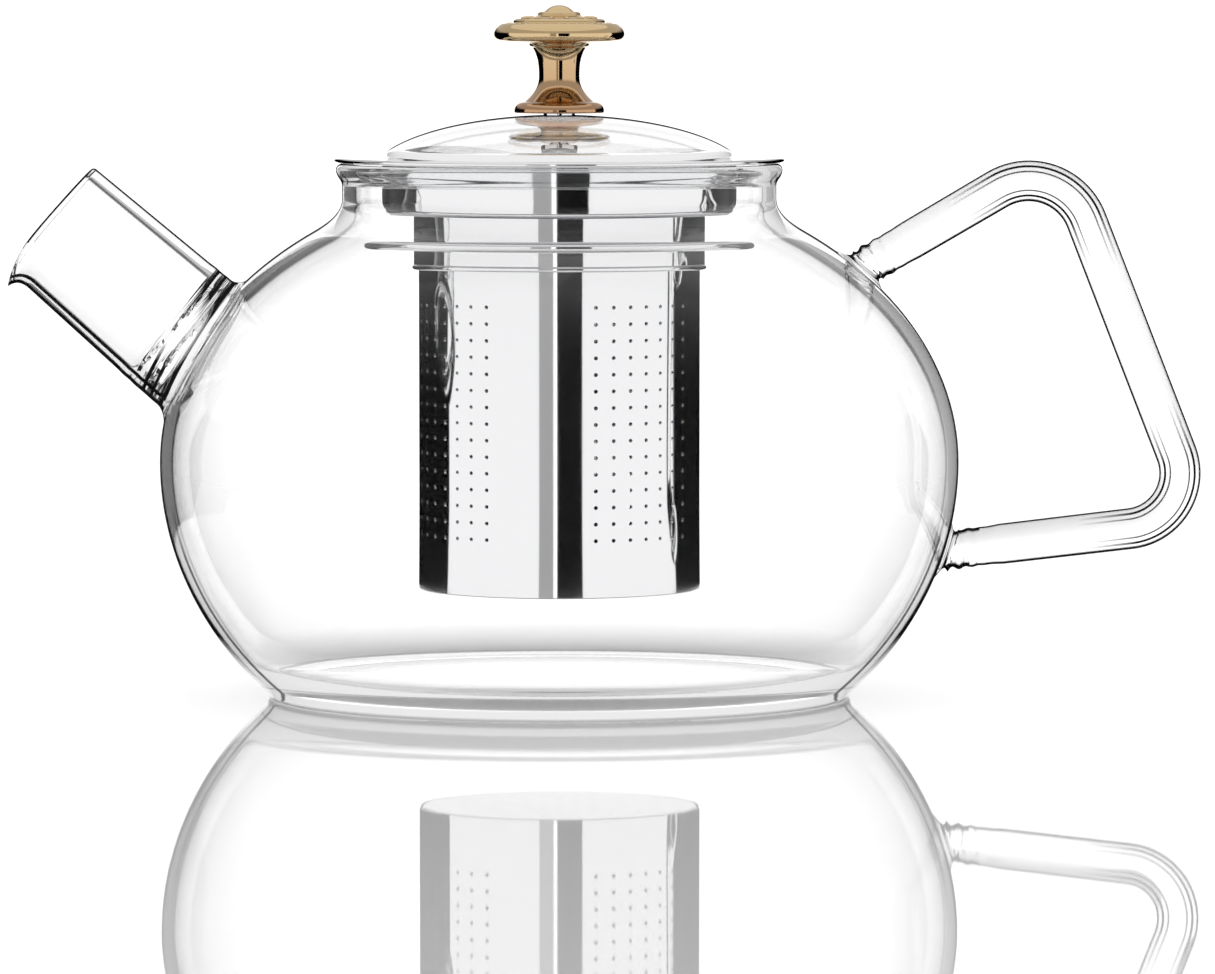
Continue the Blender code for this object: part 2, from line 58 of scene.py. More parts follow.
def curveRun(first, firstPull, lastPull, last, steps):
    # a cubic curve from first to last, without its ends
    run = []
    for i in range(1, steps):
        t = i / steps
        weights = ((1 - t) ** 3, 3 * t * (1 - t) ** 2, 3 * t * t * (1 - t), t ** 3)
        corners = (first, firstPull, lastPull, last)
        run.append(tuple(sum(w * c[k] for w, c in zip(weights, corners)) for k in (0, 1)))
    return run


def skinRings(work, rings, closed):
    pairs = list(zip(rings, rings[1:]))
    if closed:
        pairs.append((rings[-1], rings[0]))
    for low, high in pairs:
        sides = max(len(low), len(high))
        for i in range(sides):
            j = (i + 1) % sides
            corners = (low[i % len(low)], low[j % len(low)], high[j % len(high)], high[i % len(high)])
            work.faces.new(list(dict.fromkeys(corners)))


def meshFrom(name, work, sharpAngle=35.0):
    bmesh.ops.recalc_face_normals(work, faces=work.faces)
    mesh = bpy.data.meshes.new(name)
    work.to_mesh(mesh)
    work.free()
    mesh.shade_smooth()
    mesh.set_sharp_from_angle(angle=math.radians(sharpAngle))
    return mesh


def turnedMesh(name, outline, sides=192, sharpAngle=35.0):
    # a closed loop, or a solid where the outline starts and ends on the axis
    work = bmesh.new()
    rings = []
    for radius, height in outline:
        if radius < 1e-7:
            rings.append([work.verts.new((0.0, 0.0, height))])
            continue
        turns = [math.tau * i / sides for i in range(sides)]
        places = [(radius * math.cos(a), radius * math.sin(a), height) for a in turns]
        rings.append([work.verts.new(place) for place in places])
    skinRings(work, rings, closed=outline[0][0] > 1e-7)
    return meshFrom(name, work, sharpAngle)


def newObject(name, mesh):
    made = bpy.data.objects.new(name, mesh)
    bpy.context.scene.collection.objects.link(made)
    return made


def bakedMesh(shape, name, sharpAngle=35.0):
    # the shape with its modifiers applied, as a plain mesh; the shape itself goes
    bpy.context.view_layer.update()
    graph = bpy.context.evaluated_depsgraph_get()
    mesh = bpy.data.meshes.new_from_object(shape.evaluated_get(graph))
    mesh.name = name
    bpy.data.objects.remove(shape)
    mesh.shade_smooth()
    mesh.set_sharp_from_angle(angle=math.radians(sharpAngle))
    return mesh


def combine(base, operation, other):
    boolean = base.modifiers.new(operation.lower(), "BOOLEAN")
    boolean.operation = operation
    boolean.solver = "EXACT"
    boolean.object = other
    return base


def addPiece(name, mesh, body, slotName, *nodes):
    piece = newObject(name, mesh)
    mesh.materials.clear()
    mesh.materials.append(finishes[slotName])
    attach(piece, body)
    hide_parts(*nodes)
    print("piece made:", name, len(mesh.polygons), "faces")
    return piece


def setSockets(tree, node, values):
    # links the values that are sockets themselves, and sets the others
    for key, value in values.items():
        if isinstance(value, bpy.types.NodeSocket):
            tree.links.new(value, node.inputs[key])
        else:
            node.inputs[key].default_value = value


def addNode(tree, kind, values=None, **settings):
    node = tree.nodes.new(kind)
    for key, value in settings.items():
        setattr(node, key, value)
    setSockets(tree, node, values or {})
    return node


def newMaterial(name):
    material = bpy.data.materials.new(name)
    material.use_nodes = True
    tree = material.node_tree
    return material, tree, tree.nodes["Principled BSDF"]


def showShader(tree, shader):
    setSockets(tree, tree.nodes["Material Output"], {"Surface": shader})


def objectPlace(tree, scale=(1.0, 1.0, 1.0)):
    # Object coordinates, stretched by scale
    place = addNode(tree, "ShaderNodeTexCoord").outputs["Object"]
    return addNode(tree, "ShaderNodeMapping", {"Vector": place, "Scale": scale}).outputs["Vector"]


def splitVector(tree, vector):
    return addNode(tree, "ShaderNodeSeparateXYZ", {"Vector": vector}).outputs


def noiseValue(tree, place, scale, detail=3.0):
    noise = addNode(tree, "ShaderNodeTexNoise", {"Vector": place, "Scale": scale, "Detail": detail})
    return noise.outputs["Fac"]


def remap(tree, value, low, high):
    ramp = addNode(tree, "ShaderNodeMapRange", {"Value": value, "To Min": low, "To Max": high})
    return ramp.outputs["Result"]


def between(tree, value, first, last):
    # 0 where the value is at first, 1 where it is at last
    ramp = addNode(tree, "ShaderNodeMapRange", {"Value": value, "From Min": first, "From Max": last})
    return ramp.outputs["Result"]


def mathNode(tree, operation, first, second=0.0):
    return addNode(tree, "ShaderNodeMath", {0: first, 1: second}, operation=operation).outputs["Value"]


def product(tree, first, *others):
    for other in others:
        first = mathNode(tree, "MULTIPLY", first, other)
    return first


def greyRamp(tree, value, stops, stepped=False):
    # grey levels along the value, as (place, brightness) pairs
    ramp = addNode(tree, "ShaderNodeValToRGB", {"Fac": value})
    ramp.color_ramp.interpolation = "CONSTANT" if stepped else "LINEAR"
    elements = ramp.color_ramp.elements
    while len(elements) < len(stops):
        elements.new(0.5)
    for element, (place, bright) in zip(elements, stops):
        element.position = place
        element.color = (bright, bright, bright, 1.0)
    return ramp.outputs["Color"]


def objectHeight(tree, low, high):
    # 0 below low, 1 above high
    return between(tree, splitVector(tree, objectPlace(tree))["Z"], low, high)


def mixColours(tree, factor, first, second):
    values = {"Factor": factor, 6: first, 7: second}
    return addNode(tree, "ShaderNodeMix", values, data_type="RGBA").outputs[2]


def mixShaders(tree, factor, first, second):
    return addNode(tree, "ShaderNodeMixShader", {"Fac": factor, 1: first, 2: second}).outputs["Shader"]


def addBump(tree, shader, value, distance, strength):
    bump = addNode(tree, "ShaderNodeBump", {"Height": value, "Distance": distance, "Strength": strength})
    setSockets(tree, shader, {"Normal": bump.outputs["Normal"]})


# what all the glass shares, and then each kind's own values.
# edge: how clear the glass is by how edge-on it is seen, from 0 (face on) to 1 (edge on); the darkening
# towards the edge is painted shade.
# the painted outline: where the painted black line along the glass's outline starts and is full;
# clearBelow: heights over which it fades in.
# under: how much broader the painted line is on sides that look down, painted shade under the glass.
# the painted streaks: painted dark streaks inside the outline, near the bends where they are given, else on
# sides that look down
blownGlass = {
    "ior": 1.474,
    "mirror": (0.06, 0.06, 0.06, 1.0),
    # painted shade: the colour of the painted black outline
    "paintedOutlineColour": (0.01, 0.01, 0.01, 1.0),
    "clearBelow": (4.5 * mm, 13.0 * mm),
    "paintedStreaks": [(0.0, 0.0), (1.0, 0.0)],
    "bends": [],
    "under": 0.1,
    "waveScale": 30.0,
    # painted shade on the foot: the heights it fades out between, and its strength
    "paintedFootShade": (0.5 * mm, 1.0 * mm, 0.45),
    "waveDepth": 0.4 * mm,
    # painted light: the strength of the glow shown after many turns inside the glass
    "paintedGlow": 0.85,
}

globeLook = {
    **blownGlass,
    "edge": [(0.0, 0.99), (0.7, 0.98), (0.86, 0.75), (1.0, 0.35)],
    "paintedOutline": (0.895, 0.925),
    "under": 0.09,
    "paintedStreaks": [(0.0, 0.0), (0.775, 0.0), (0.785, 0.8), (0.80, 0.8), (0.81, 0.0)],
    "waveScale": 22.0,
    "waveStrength": 0.05,
}

rodLook = {
    **blownGlass,
    "edge": [(0.0, 0.99), (0.4, 0.97), (0.6, 0.7), (1.0, 0.3)],
    "paintedOutline": (0.55, 0.66),
    "paintedStreaks": [(0.0, 0.0), (0.09, 0.0), (0.10, 0.9), (0.13, 0.9), (0.14, 0.0), (0.24, 0.0), (0.26, 1.0),
              (0.35, 1.0), (0.37, 0.0)],
    "bends": [(97.6 * mm, 0.0, 106.3 * mm), (125.6 * mm, 0.0, 34.5 * mm)],
    "waveScale": 45.0,
    "waveStrength": 0.22,
}

spoutLook = {
    **blownGlass,
    "edge": [(0.0, 0.99), (0.6, 0.97), (0.76, 0.75), (1.0, 0.35)],
    "paintedOutline": (0.75, 0.80),
    "under": 0.13,
    "paintedStreaks": [(0.0, 0.0), (0.46, 0.0), (0.48, 1.0), (0.55, 1.0), (0.57, 0.0)],
    "waveStrength": 0.08,
}

# the fire-polished rim of the spout and the rings round its root, painted dark almost all over except where
# seen face on: painted shade
rimLook = {
    **blownGlass,
    "edge": [(0.0, 0.99), (0.2, 0.97), (0.6, 0.7), (1.0, 0.35)],
    "paintedOutline": (0.04, 0.2),
    "waveStrength": 0.05,
}

# the folded glass where the handle is fused on, with painted shade: its darkening and painted black line
# start much nearer face on
knotLook = {
    **blownGlass,
    "edge": [(0.0, 0.99), (0.2, 0.97), (0.5, 0.7), (1.0, 0.3)],
    "paintedOutline": (0.36, 0.52),
    "waveScale": 120.0,
    "waveStrength": 0.4,
}

domeLook = {
    **blownGlass,
    "edge": [(0.0, 0.99), (0.86, 0.98), (0.92, 0.75), (1.0, 0.35)],
    "paintedOutline": (0.905, 0.93),
    "clearBelow": (106.2 * mm, 107.2 * mm),
    "under": 0.0,
    "waveStrength": 0.04,
}


def paintedStreakMask(tree, look, path, facing, upward):
    # painted shade: dark streaks at given edge-on amounts, near the given bends or else on sides that look
    # down, on the first surface seen only
    where = between(tree, upward, -0.1, -0.3)
    for i, bend in enumerate(look["bends"]):
        away = addNode(tree, "ShaderNodeVectorMath", {0: objectPlace(tree), 1: bend}, operation="DISTANCE")
        close = between(tree, away.outputs["Value"], 25 * mm, 14 * mm)
        where = close if i == 0 else mathNode(tree, "MAXIMUM", where, close)
    first = mathNode(tree, "LESS_THAN", path["Transmission Depth"], 0.5)
    return product(tree, greyRamp(tree, facing, look["paintedStreaks"]), where, first)


def clearGlass(name, look):
    # borosilicate glass with the slow waves of hand blowing, and painted shade: its colour darkens and a
    # painted black line grows towards its outline and on sides that look down, with painted dark streaks
    # and a painted glow
    material, tree, shader = newMaterial(name)
    values = {"Roughness": 0.0, "IOR": look["ior"], "Transmission Weight": 1.0}
    setSockets(tree, shader, {"Specular Tint": look["mirror"], **values})
    facing = addNode(tree, "ShaderNodeLayerWeight").outputs["Facing"]
    upward = splitVector(tree, addNode(tree, "ShaderNodeNewGeometry").outputs["Normal"])["Z"]
    # painted shade: sides that look down count as more edge-on, so the painted darkening and line reach
    # further there
    below = product(tree, mathNode(tree, "MINIMUM", upward, 0.0), -look["under"])
    edgeOn = mathNode(tree, "ADD", facing, below)
    # the base is seen nearly edge-on everywhere, so its edges stay clear
    above = objectHeight(tree, *look["clearBelow"])
    # painted shade: the glass's colour darkens the more edge-on it is seen
    clear = greyRamp(tree, product(tree, edgeOn, above), look["edge"])
    setSockets(tree, shader, {"Base Color": clear})
    waves = noiseValue(tree, objectPlace(tree, (1.0, 1.0, 0.6)), look["waveScale"], 1.0)
    addBump(tree, shader, waves, look["waveDepth"], look["waveStrength"])
    # painted shade: a black line along the outline, where the glass is seen nearly edge-on
    paintedShade = greyRamp(tree, edgeOn, [(0.0, 0.0), (look["paintedOutline"][0], 0.0), (look["paintedOutline"][1], 1.0)])
    paintedShade = product(tree, paintedShade, above)
    # and only the turned-under rim it stands on carries a painted dark line, painted shade low on the foot
    low, high, strength = look["paintedFootShade"]
    rim = mathNode(tree, "LESS_THAN", mathNode(tree, "ABSOLUTE", upward), 0.9)
    foot = product(tree, mathNode(tree, "SUBTRACT", 1.0, objectHeight(tree, low, high)), rim, strength)
    paintedShade = mathNode(tree, "MAXIMUM", paintedShade, foot)
    path = addNode(tree, "ShaderNodeLightPath").outputs
    paintedShade = mathNode(tree, "MAXIMUM", paintedShade, paintedStreakMask(tree, look, path, facing, upward))
    # painted shade: a black surface mixed in wherever the painted line is
    paintedBlack = addNode(tree, "ShaderNodeBsdfDiffuse", {"Color": look["paintedOutlineColour"]})
    withPaintedShade = mixShaders(tree, paintedShade, shader.outputs["BSDF"], paintedBlack.outputs["BSDF"])
    # painted light: where light has turned back many times inside the wall, the glass shows a painted glow
    # instead of its own shading
    deep = mathNode(tree, "GREATER_THAN", path["Glossy Depth"], 2.5)
    glow = addNode(tree, "ShaderNodeEmission", {"Strength": look["paintedGlow"]})
    showShader(tree, mixShaders(tree, deep, withPaintedShade, glow.outputs["Emission"]))
    return material


steelLook = {
    "colour": (0.80, 0.80, 0.81, 1.0),
    "smooth": 0.03,
    "rough": 0.09,
    "smearScale": 60.0,
    "lineScale": 900.0,
    "lineDepth": 0.05 * mm,
    "lineStrength": 0.02,
}


def polishedSteel(name, look):
    # mirror-polished steel with faint drawing lines round the turned walls
    material, tree, shader = newMaterial(name)
    smears = noiseValue(tree, objectPlace(tree, (1.0, 1.0, 0.5)), look["smearScale"], 4.0)
    rough = remap(tree, smears, look["smooth"], look["rough"])
    setSockets(tree, shader, {"Base Color": look["colour"], "Metallic": 1.0, "Roughness": rough})
    lines = noiseValue(tree, objectPlace(tree, (0.02, 0.02, 1.0)), look["lineScale"], 2.0)
    addBump(tree, shader, lines, look["lineDepth"], look["lineStrength"])
    return material


goldLook = {
    # painted shade and highlight: low is the browner colour near the knob's foot, high the paler one at the
    # cap
    "low": (0.50, 0.30, 0.17, 1.0),
    "high": (0.66, 0.49, 0.27, 1.0),
    "heights": (115.0 * mm, 131.0 * mm),
    "wearScale": 180.0,
    "smooth": 0.04,
    "rough": 0.10,
}


def goldPlate(name, look):
    material, tree, shader = newMaterial(name)
    # painted shade: the colour runs from dark brown low to pale gold on top
    paintedShadeTone = mixColours(tree, objectHeight(tree, *look["heights"]), look["low"], look["high"])
    wear = noiseValue(tree, objectPlace(tree), look["wearScale"], 4.0)
    rough = remap(tree, wear, look["smooth"], look["rough"])
    setSockets(tree, shader, {"Base Color": paintedShadeTone, "Metallic": 1.0, "Roughness": rough})
    return material


siliconeLook = {
    "colour": (0.97, 0.975, 0.975, 1.0),
    "ior": 1.41,
    "cloudScale": 120.0,
    "smooth": 0.02,
    "rough": 0.08,
}


def clearSilicone(name, look):
    material, tree, shader = newMaterial(name)
    cloud = noiseValue(tree, objectPlace(tree), look["cloudScale"], 2.0)
    rough = remap(tree, cloud, look["smooth"], look["rough"])
    values = {"IOR": look["ior"], "Roughness": rough, "Transmission Weight": 1.0}
    setSockets(tree, shader, {"Base Color": look["colour"], **values})
    return material


potGlass = clearGlass("potGlass", globeLook)
rodGlass = clearGlass("rodGlass", rodLook)
spoutGlass = clearGlass("spoutGlass", spoutLook)
rimGlass = clearGlass("rimGlass", rimLook)
knotGlass = clearGlass("knotGlass", knotLook)
lidGlass = clearGlass("lidGlass", domeLook)
steel = polishedSteel("polishedSteel", steelLook)
gold = goldPlate("goldPlate", goldLook)
silicone = clearSilicone("clearSilicone", siliconeLook)
finishes = {
    "pot_glass": potGlass,
    "lid_glass": lidGlass,
    "polished_steel": steel,
    "gold_plate": gold,
    "clear_silicone": silicone,
}
print("materials ready")


cameraSetup = {
    "place": (9.4 * mm, -1.5, 0.14),
    "target": (9.4 * mm, 0.0, 41.0 * mm),
    "lens": 228.0,
}


def makeCamera(setup):
    data = bpy.data.cameras.new("camera")
    camera = newObject("camera", data)
    data.lens = setup["lens"]
    data.sensor_width = 36.0
    data.clip_start = 0.01
    data.clip_end = 50.0
    camera.location = setup["place"]
    aim = Vector(setup["target"]) - Vector(setup["place"])
    camera.rotation_euler = aim.to_track_quat("-Z", "Y").to_euler()
    bpy.context.scene.camera = camera


makeCamera(cameraSetup)


studio = {
    "surround": 1.3,
    "floorSize": 8.0,
    "floorHeight": -0.06 * mm,
    "floorColour": (0.67, 0.67, 0.67, 1.0),
    "floorRoughness": 0.02,
    "floorIor": 1.5,
    "roundSides": 128,
    "tentRadius": 0.55,
    "tentHeight": 0.6,
    "tentFoot": 0.5 * mm,
    "skirtRadius": 0.24,
    "skirtHeight": 0.4 * mm,
    "veilRadius": 1.4,
    "veilHeight": -0.03 * mm,
    # turn to the right of the camera's side, in degrees, and the brightness from there on
    "bands": [
        (-180.0, 1.5), (-161.5, 0.0), (-99.0, 1.14), (-16.0, 0.45), (-5.0, 1.6), (-2.0, 0.0),
        (18.0, 1.14), (105.0, 0.0), (161.5, 1.5),
    ],
    # the same for light that turned back inside a single glass wall
    "wallBands": [
        (-180.0, 1.3), (-165.0, 0.03), (-120.0, 0.7), (-90.0, 1.3), (100.0, 0.8), (145.0, 0.55),
        (163.0, 1.3),
    ],
    # from the first to the second height the bands turn into an even brightness, up to the ceiling's own
    "evenFrom": (0.20, 0.30),
    "evenLight": (0.6, 0.6, 0.6, 1.0),
    "ceilingFrom": (0.58, 0.59),
    "ceilingLight": (0.95, 0.95, 0.95, 1.0),
}


def circlePoints(work, setup, radius, height):
    reach, high, sides = setup[radius], setup[height], setup["roundSides"]
    turns = [math.tau * i / sides for i in range(sides)]
    return [work.verts.new((reach * math.cos(a), reach * math.sin(a), high)) for a in turns]


def bandRamp(tree, share, bands):
    return greyRamp(tree, share, [((turn + 180.0) / 360.0, bright) for turn, bright in bands], stepped=True)


def tentMaterial(setup):
    # shows in gloss only, as bands of light by the turn round the pot
    material, tree, shader = newMaterial("tentLight")
    tree.nodes.remove(shader)
    place = splitVector(tree, objectPlace(tree))
    turn = mathNode(tree, "ARCTAN2", place["X"], product(tree, place["Y"], -1.0))
    share = mathNode(tree, "ADD", mathNode(tree, "DIVIDE", turn, math.tau), 0.5)
    even = objectHeight(tree, *setup["evenFrom"])
    colour = mixColours(tree, even, bandRamp(tree, share, setup["bands"]), setup["evenLight"])
    colour = mixColours(tree, objectHeight(tree, *setup["ceilingFrom"]), colour, setup["ceilingLight"])
    path = addNode(tree, "ShaderNodeLightPath").outputs
    entered = mathNode(tree, "GREATER_THAN", path["Transmission Depth"], 0.5)
    inOneWall = product(tree, entered, mathNode(tree, "LESS_THAN", path["Transmission Depth"], 3.5))
    colour = mixColours(tree, inOneWall, colour, bandRamp(tree, share, setup["wallBands"]))
    # the skirt shows from above only
    geometry = addNode(tree, "ShaderNodeNewGeometry").outputs
    upright = mathNode(tree, "ABSOLUTE", splitVector(tree, geometry["True Normal"])["Z"])
    behind = product(tree, mathNode(tree, "GREATER_THAN", upright, 0.5), geometry["Backfacing"])
    # the floor's own gloss sees the plain surround: its light has crossed the veil twice
    crossed = mathNode(tree, "GREATER_THAN", path["Transparent Depth"], 1.5)
    fromFloor = product(tree, crossed, mathNode(tree, "LESS_THAN", path["Glossy Depth"], 1.5))
    hidden = mathNode(tree, "MAXIMUM", behind, fromFloor)
    inGloss = mathNode(tree, "GREATER_THAN", path["Glossy Depth"], 0.5)
    shown = product(tree, inGloss, mathNode(tree, "SUBTRACT", 1.0, hidden))
    glow = addNode(tree, "ShaderNodeEmission", {"Color": colour}).outputs["Emission"]
    clear = addNode(tree, "ShaderNodeBsdfTransparent").outputs["BSDF"]
    showShader(tree, mixShaders(tree, shown, clear, glow))
    return material


def veilMaterial():
    material, tree, shader = newMaterial("veilClear")
    tree.nodes.remove(shader)
    showShader(tree, addNode(tree, "ShaderNodeBsdfTransparent").outputs["BSDF"])
    return material


def stageObject(name, work, material):
    made = newObject(name, meshFrom(name, work))
    made.data.materials.append(material)
    return made


def makeFloor(setup):
    work = bmesh.new()
    bmesh.ops.create_grid(work, x_segments=2, y_segments=2, size=setup["floorSize"] / 2)
    bmesh.ops.translate(work, vec=(0.0, 0.0, setup["floorHeight"]), verts=work.verts)
    material, tree, shader = newMaterial("floorGloss")
    values = {"Roughness": setup["floorRoughness"], "IOR": setup["floorIor"]}
    setSockets(tree, shader, {"Base Color": setup["floorColour"], **values})
    floor = stageObject("floor", work, material)
    work = bmesh.new()
    work.faces.new(circlePoints(work, setup, "veilRadius", "veilHeight"))
    veil = stageObject("floorVeil", work, veilMaterial())
    veil.visible_shadow = False
    return floor, veil


def makeTent(setup):
    # a round wall with a flat ceiling, and a skirt of the same bands on the floor
    work = bmesh.new()
    low = circlePoints(work, setup, "tentRadius", "tentFoot")
    high = circlePoints(work, setup, "tentRadius", "tentHeight")
    skirt = circlePoints(work, setup, "skirtRadius", "skirtHeight")
    middle = [work.verts.new((0.0, 0.0, setup["tentHeight"]))]
    skinRings(work, [skirt, low, high, middle], closed=False)
    tent = stageObject("lightTent", work, tentMaterial(setup))
    for face in tent.data.polygons:
        # the skirt faces up and the ceiling down
        inward = -face.normal.z if face.center.z > setup["evenFrom"][0] else face.normal.z
        if inward < -0.5:
            face.flip()
    tent.visible_camera = False
    tent.visible_shadow = False
    return tent


def makeStudio(setup):
    world = bpy.data.worlds.new("surround")
    bpy.context.scene.world = world
    world.use_nodes = True
    tree = world.node_tree
    values = {"Color": (1.0, 1.0, 1.0, 1.0), "Strength": setup["surround"]}
    setSockets(tree, tree.nodes["Background"], values)
    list(makeFloor(setup))
    makeTent(setup)
    bpy.context.scene.view_settings.view_transform = "Standard"


makeStudio(studio)
print("camera and studio ready")


potShape = {
    "bellyRadius": 77.9 * mm,
    "bellyHeight": 46.0 * mm,
    "lowerHalf": 66.0 * mm,
    "upperHalf": 57.0 * mm,
    "wall": 2.2 * mm,
    "floor": 3.0 * mm,
    "shoulderAngle": 52.0,
    "neckOuter": 42.3 * mm,
    "neckInner": 39.7 * mm,
    "neckFoot": 97.3 * mm,
    "lipOuter": 43.5 * mm,
    "rim": 104.1 * mm,
    # faces this far from the axis and this far out from the globe are the spout's or the handle's
    "clearOf": 45.0 * mm,
    "fused": 0.6 * mm,
    "knot": 5.0 * mm,
    "sides": 176,
}


def potOuter(shape):
    middle = (0.0, shape["bellyHeight"])
    lower = (shape["bellyRadius"], shape["lowerHalf"])
    upper = (shape["bellyRadius"], shape["upperHalf"])
    start = -math.degrees(math.asin((shape["bellyHeight"] - 1.3 * mm) / lower[1]))
    belly = ellipseArc(middle, lower, start, 0.0, 26)[:-1]
    belly += ellipseArc(middle, upper, 0.0, shape["shoulderAngle"], 26)
    foot = (belly[0][0] - 1.7 * mm, 0.0)
    hollow = 0.5 * mm
    run = [(0.0, hollow), (20.0 * mm, hollow), (40.0 * mm, hollow)]
    inner = (foot[0] - 4.0 * mm, 0.0)
    run += curveRun(run[-1], (44.0 * mm, hollow), (foot[0] - 7.0 * mm, 0.0), inner, 6)
    run += [inner, foot]
    run += curveRun(foot, (foot[0] + 0.9 * mm, 0.0), (belly[0][0] - 0.35 * mm, 0.6 * mm), belly[0], 5)
    run += belly
    neck, rim, bend = shape["neckOuter"], shape["rim"], 1.1 * mm
    foot = (neck, shape["neckFoot"])
    lip = (shape["lipOuter"], rim - bend)
    run += curveRun(belly[-1], (45.2 * mm, 92.5 * mm), (neck, 94.5 * mm), foot, 12)
    run += [foot, (neck, rim - 4.2 * mm)]
    run += curveRun(run[-1], (neck, rim - 3.0 * mm), (lip[0], rim - 2.6 * mm), lip, 8)
    run += roundArc((lip[0] - bend, lip[1]), bend, 0.0, 90.0, 6)
    return run + [(0.0, rim)]


def potInner(shape):
    # from above the rim down to the middle of the floor inside
    wall = shape["wall"]
    rim = shape["rim"]
    neckInner = shape["neckInner"]
    middle = (0.0, shape["bellyHeight"])
    upper = (shape["bellyRadius"] - wall, shape["upperHalf"] - wall)
    lower = (shape["bellyRadius"] - wall, shape["lowerHalf"] - wall)
    run = roundArc((neckInner + 1.2 * mm, rim - 1.2 * mm), 1.2 * mm, 95.0, 180.0, 6)
    foot = (neckInner, shape["neckFoot"] - 1.0 * mm)
    run.append(foot)
    inside = ellipseArc(middle, upper, shape["shoulderAngle"], 0.0, 26)
    run += curveRun(foot, (neckInner, 93.3 * mm), (43.2 * mm, 91.0 * mm), inside[0], 12)
    run += inside
    run += ellipseArc(middle, lower, 0.0, -36.0, 22)[1:]
    flat = (46.0 * mm, shape["floor"])
    run += curveRun(run[-1], (57.6 * mm, 4.9 * mm), (54.0 * mm, shape["floor"]), flat, 10)
    run += [flat, (23.0 * mm, shape["floor"]), (0.0, shape["floor"])]
    return run


def globeSpread(shape, grow, point):
    # 1 on the globe's surface grown by an amount, less inside it
    half = shape["upperHalf"] if point.z > shape["bellyHeight"] else shape["lowerHalf"]
    spread = (point.x ** 2 + point.y ** 2) / (shape["bellyRadius"] + grow) ** 2
    return spread + ((point.z - shape["bellyHeight"]) / (half + grow)) ** 2


def bellySurface(shape, grow, origin, direction):
    # distance along a line, from a point outside the globe towards it, to its grown surface
    low, high = 0.0, 90.0 * mm
    for _ in range(40):
        middle = (low + high) / 2
        inside = globeSpread(shape, grow, origin + direction * middle) < 1.0
        low, high = (low, middle) if inside else (middle, high)
    return low


def spokes(along, across, sides):
    # unit arrows round the line along, starting from across
    side = along.cross(across)
    turns = [math.tau * k / sides for k in range(sides)]
    return [across * math.cos(turn) + side * math.sin(turn) for turn in turns]


def footRings(shape, grow, end, along, across, radiusAt, profile, steps, sides):
    # rings that follow the globe's surface, then straighten out to a flat ring at end.
    # profile is the foot's (extra radius, height above the surface) pairs, lowest first.
    arrows = spokes(along, across, sides)
    rings = []
    for extra, height in profile:
        reach = radiusAt(max(0.0, height)) + extra
        edge = [end + arrow * reach for arrow in arrows]
        rings.append([p - along * (bellySurface(shape, grow, p, -along) - height) for p in edge])
    depths = [(point - end).dot(along) for point in rings[-1]]
    length = bellySurface(shape, grow, end, -along)
    for i in range(1, steps + 1):
        ring = []
        for arrow, depth in zip(arrows, depths):
            depth *= 1.0 - i / steps
            ring.append(end + arrow * radiusAt(length + depth) + along * depth)
        rings.append(ring)
    return rings


def quarterFoot(size, under, steps):
    # a concave quarter round that leaves the surface and ends upright
    run = [(size + under, -under)]
    for i in range(steps + 1):
        turn = math.radians(90.0 * i / steps)
        run.append((size * (1.0 - math.sin(turn)), size * (1.0 - math.cos(turn)) - 0.08 * mm))
    return run


def cappedMesh(name, rings):
    work = bmesh.new()
    made = [[work.verts.new(point) for point in ring] for ring in rings]
    for end in (0, -1):
        centre = sum((point / len(rings[end]) for point in rings[end]), Vector())
        cap = [work.verts.new(centre)]
        made = made + [cap] if end else [cap] + made
    skinRings(work, made, closed=False)
    return meshFrom(name, work)


spoutShape = {
    "angle": 41.0,
    "mouth": Vector((-99.3, 0.0, 93.7)) * mm,
    "rootRadius": 13.9 * mm,
    "mouthRadius": 13.0 * mm,
    "wall": 1.9 * mm,
    "foot": 2.4 * mm,
    "bead": 0.7 * mm,
    "beadAt": (3.4 * mm, 6.4 * mm),
    # rings round the spout's root, by distance out from the globe, that take the nearly black rim glass as
    # painted shade
    "paintedShadeRings": [(0.3 * mm, 1.1 * mm), (2.6 * mm, 3.2 * mm), (4.6 * mm, 5.2 * mm)],
    "rimDepth": 0.4 * mm,
    "lipLength": 6.0 * mm,
    "lipOut": 2.85 * mm,
    "lipBack": 2.6 * mm,
    "sides": 96,
}


def spoutAxes(spout):
    turn = math.radians(spout["angle"])
    along = Vector((-math.cos(turn), 0.0, math.sin(turn)))
    return along, Vector((-along.z, 0.0, along.x))


def pullLip(spout, point):
    # draws the mouth's lower side out and back into a pouring lip
    along, below = spoutAxes(spout)
    offset = point - spout["mouth"]
    ahead = offset.dot(along)
    sideways = offset - along * ahead
    if sideways.length < 1e-7:
        return point
    reach = min(1.1, max(0.0, (ahead + spout["lipLength"]) / spout["lipLength"]))
    away = min(1.0, sideways.length / (spout["mouthRadius"] - spout["wall"]))
    pull = reach ** 2 * max(0.0, sideways.normalized().dot(below)) ** 4 * away ** 2
    return point + below * (spout["lipOut"] * pull) - along * (spout["lipBack"] * pull)


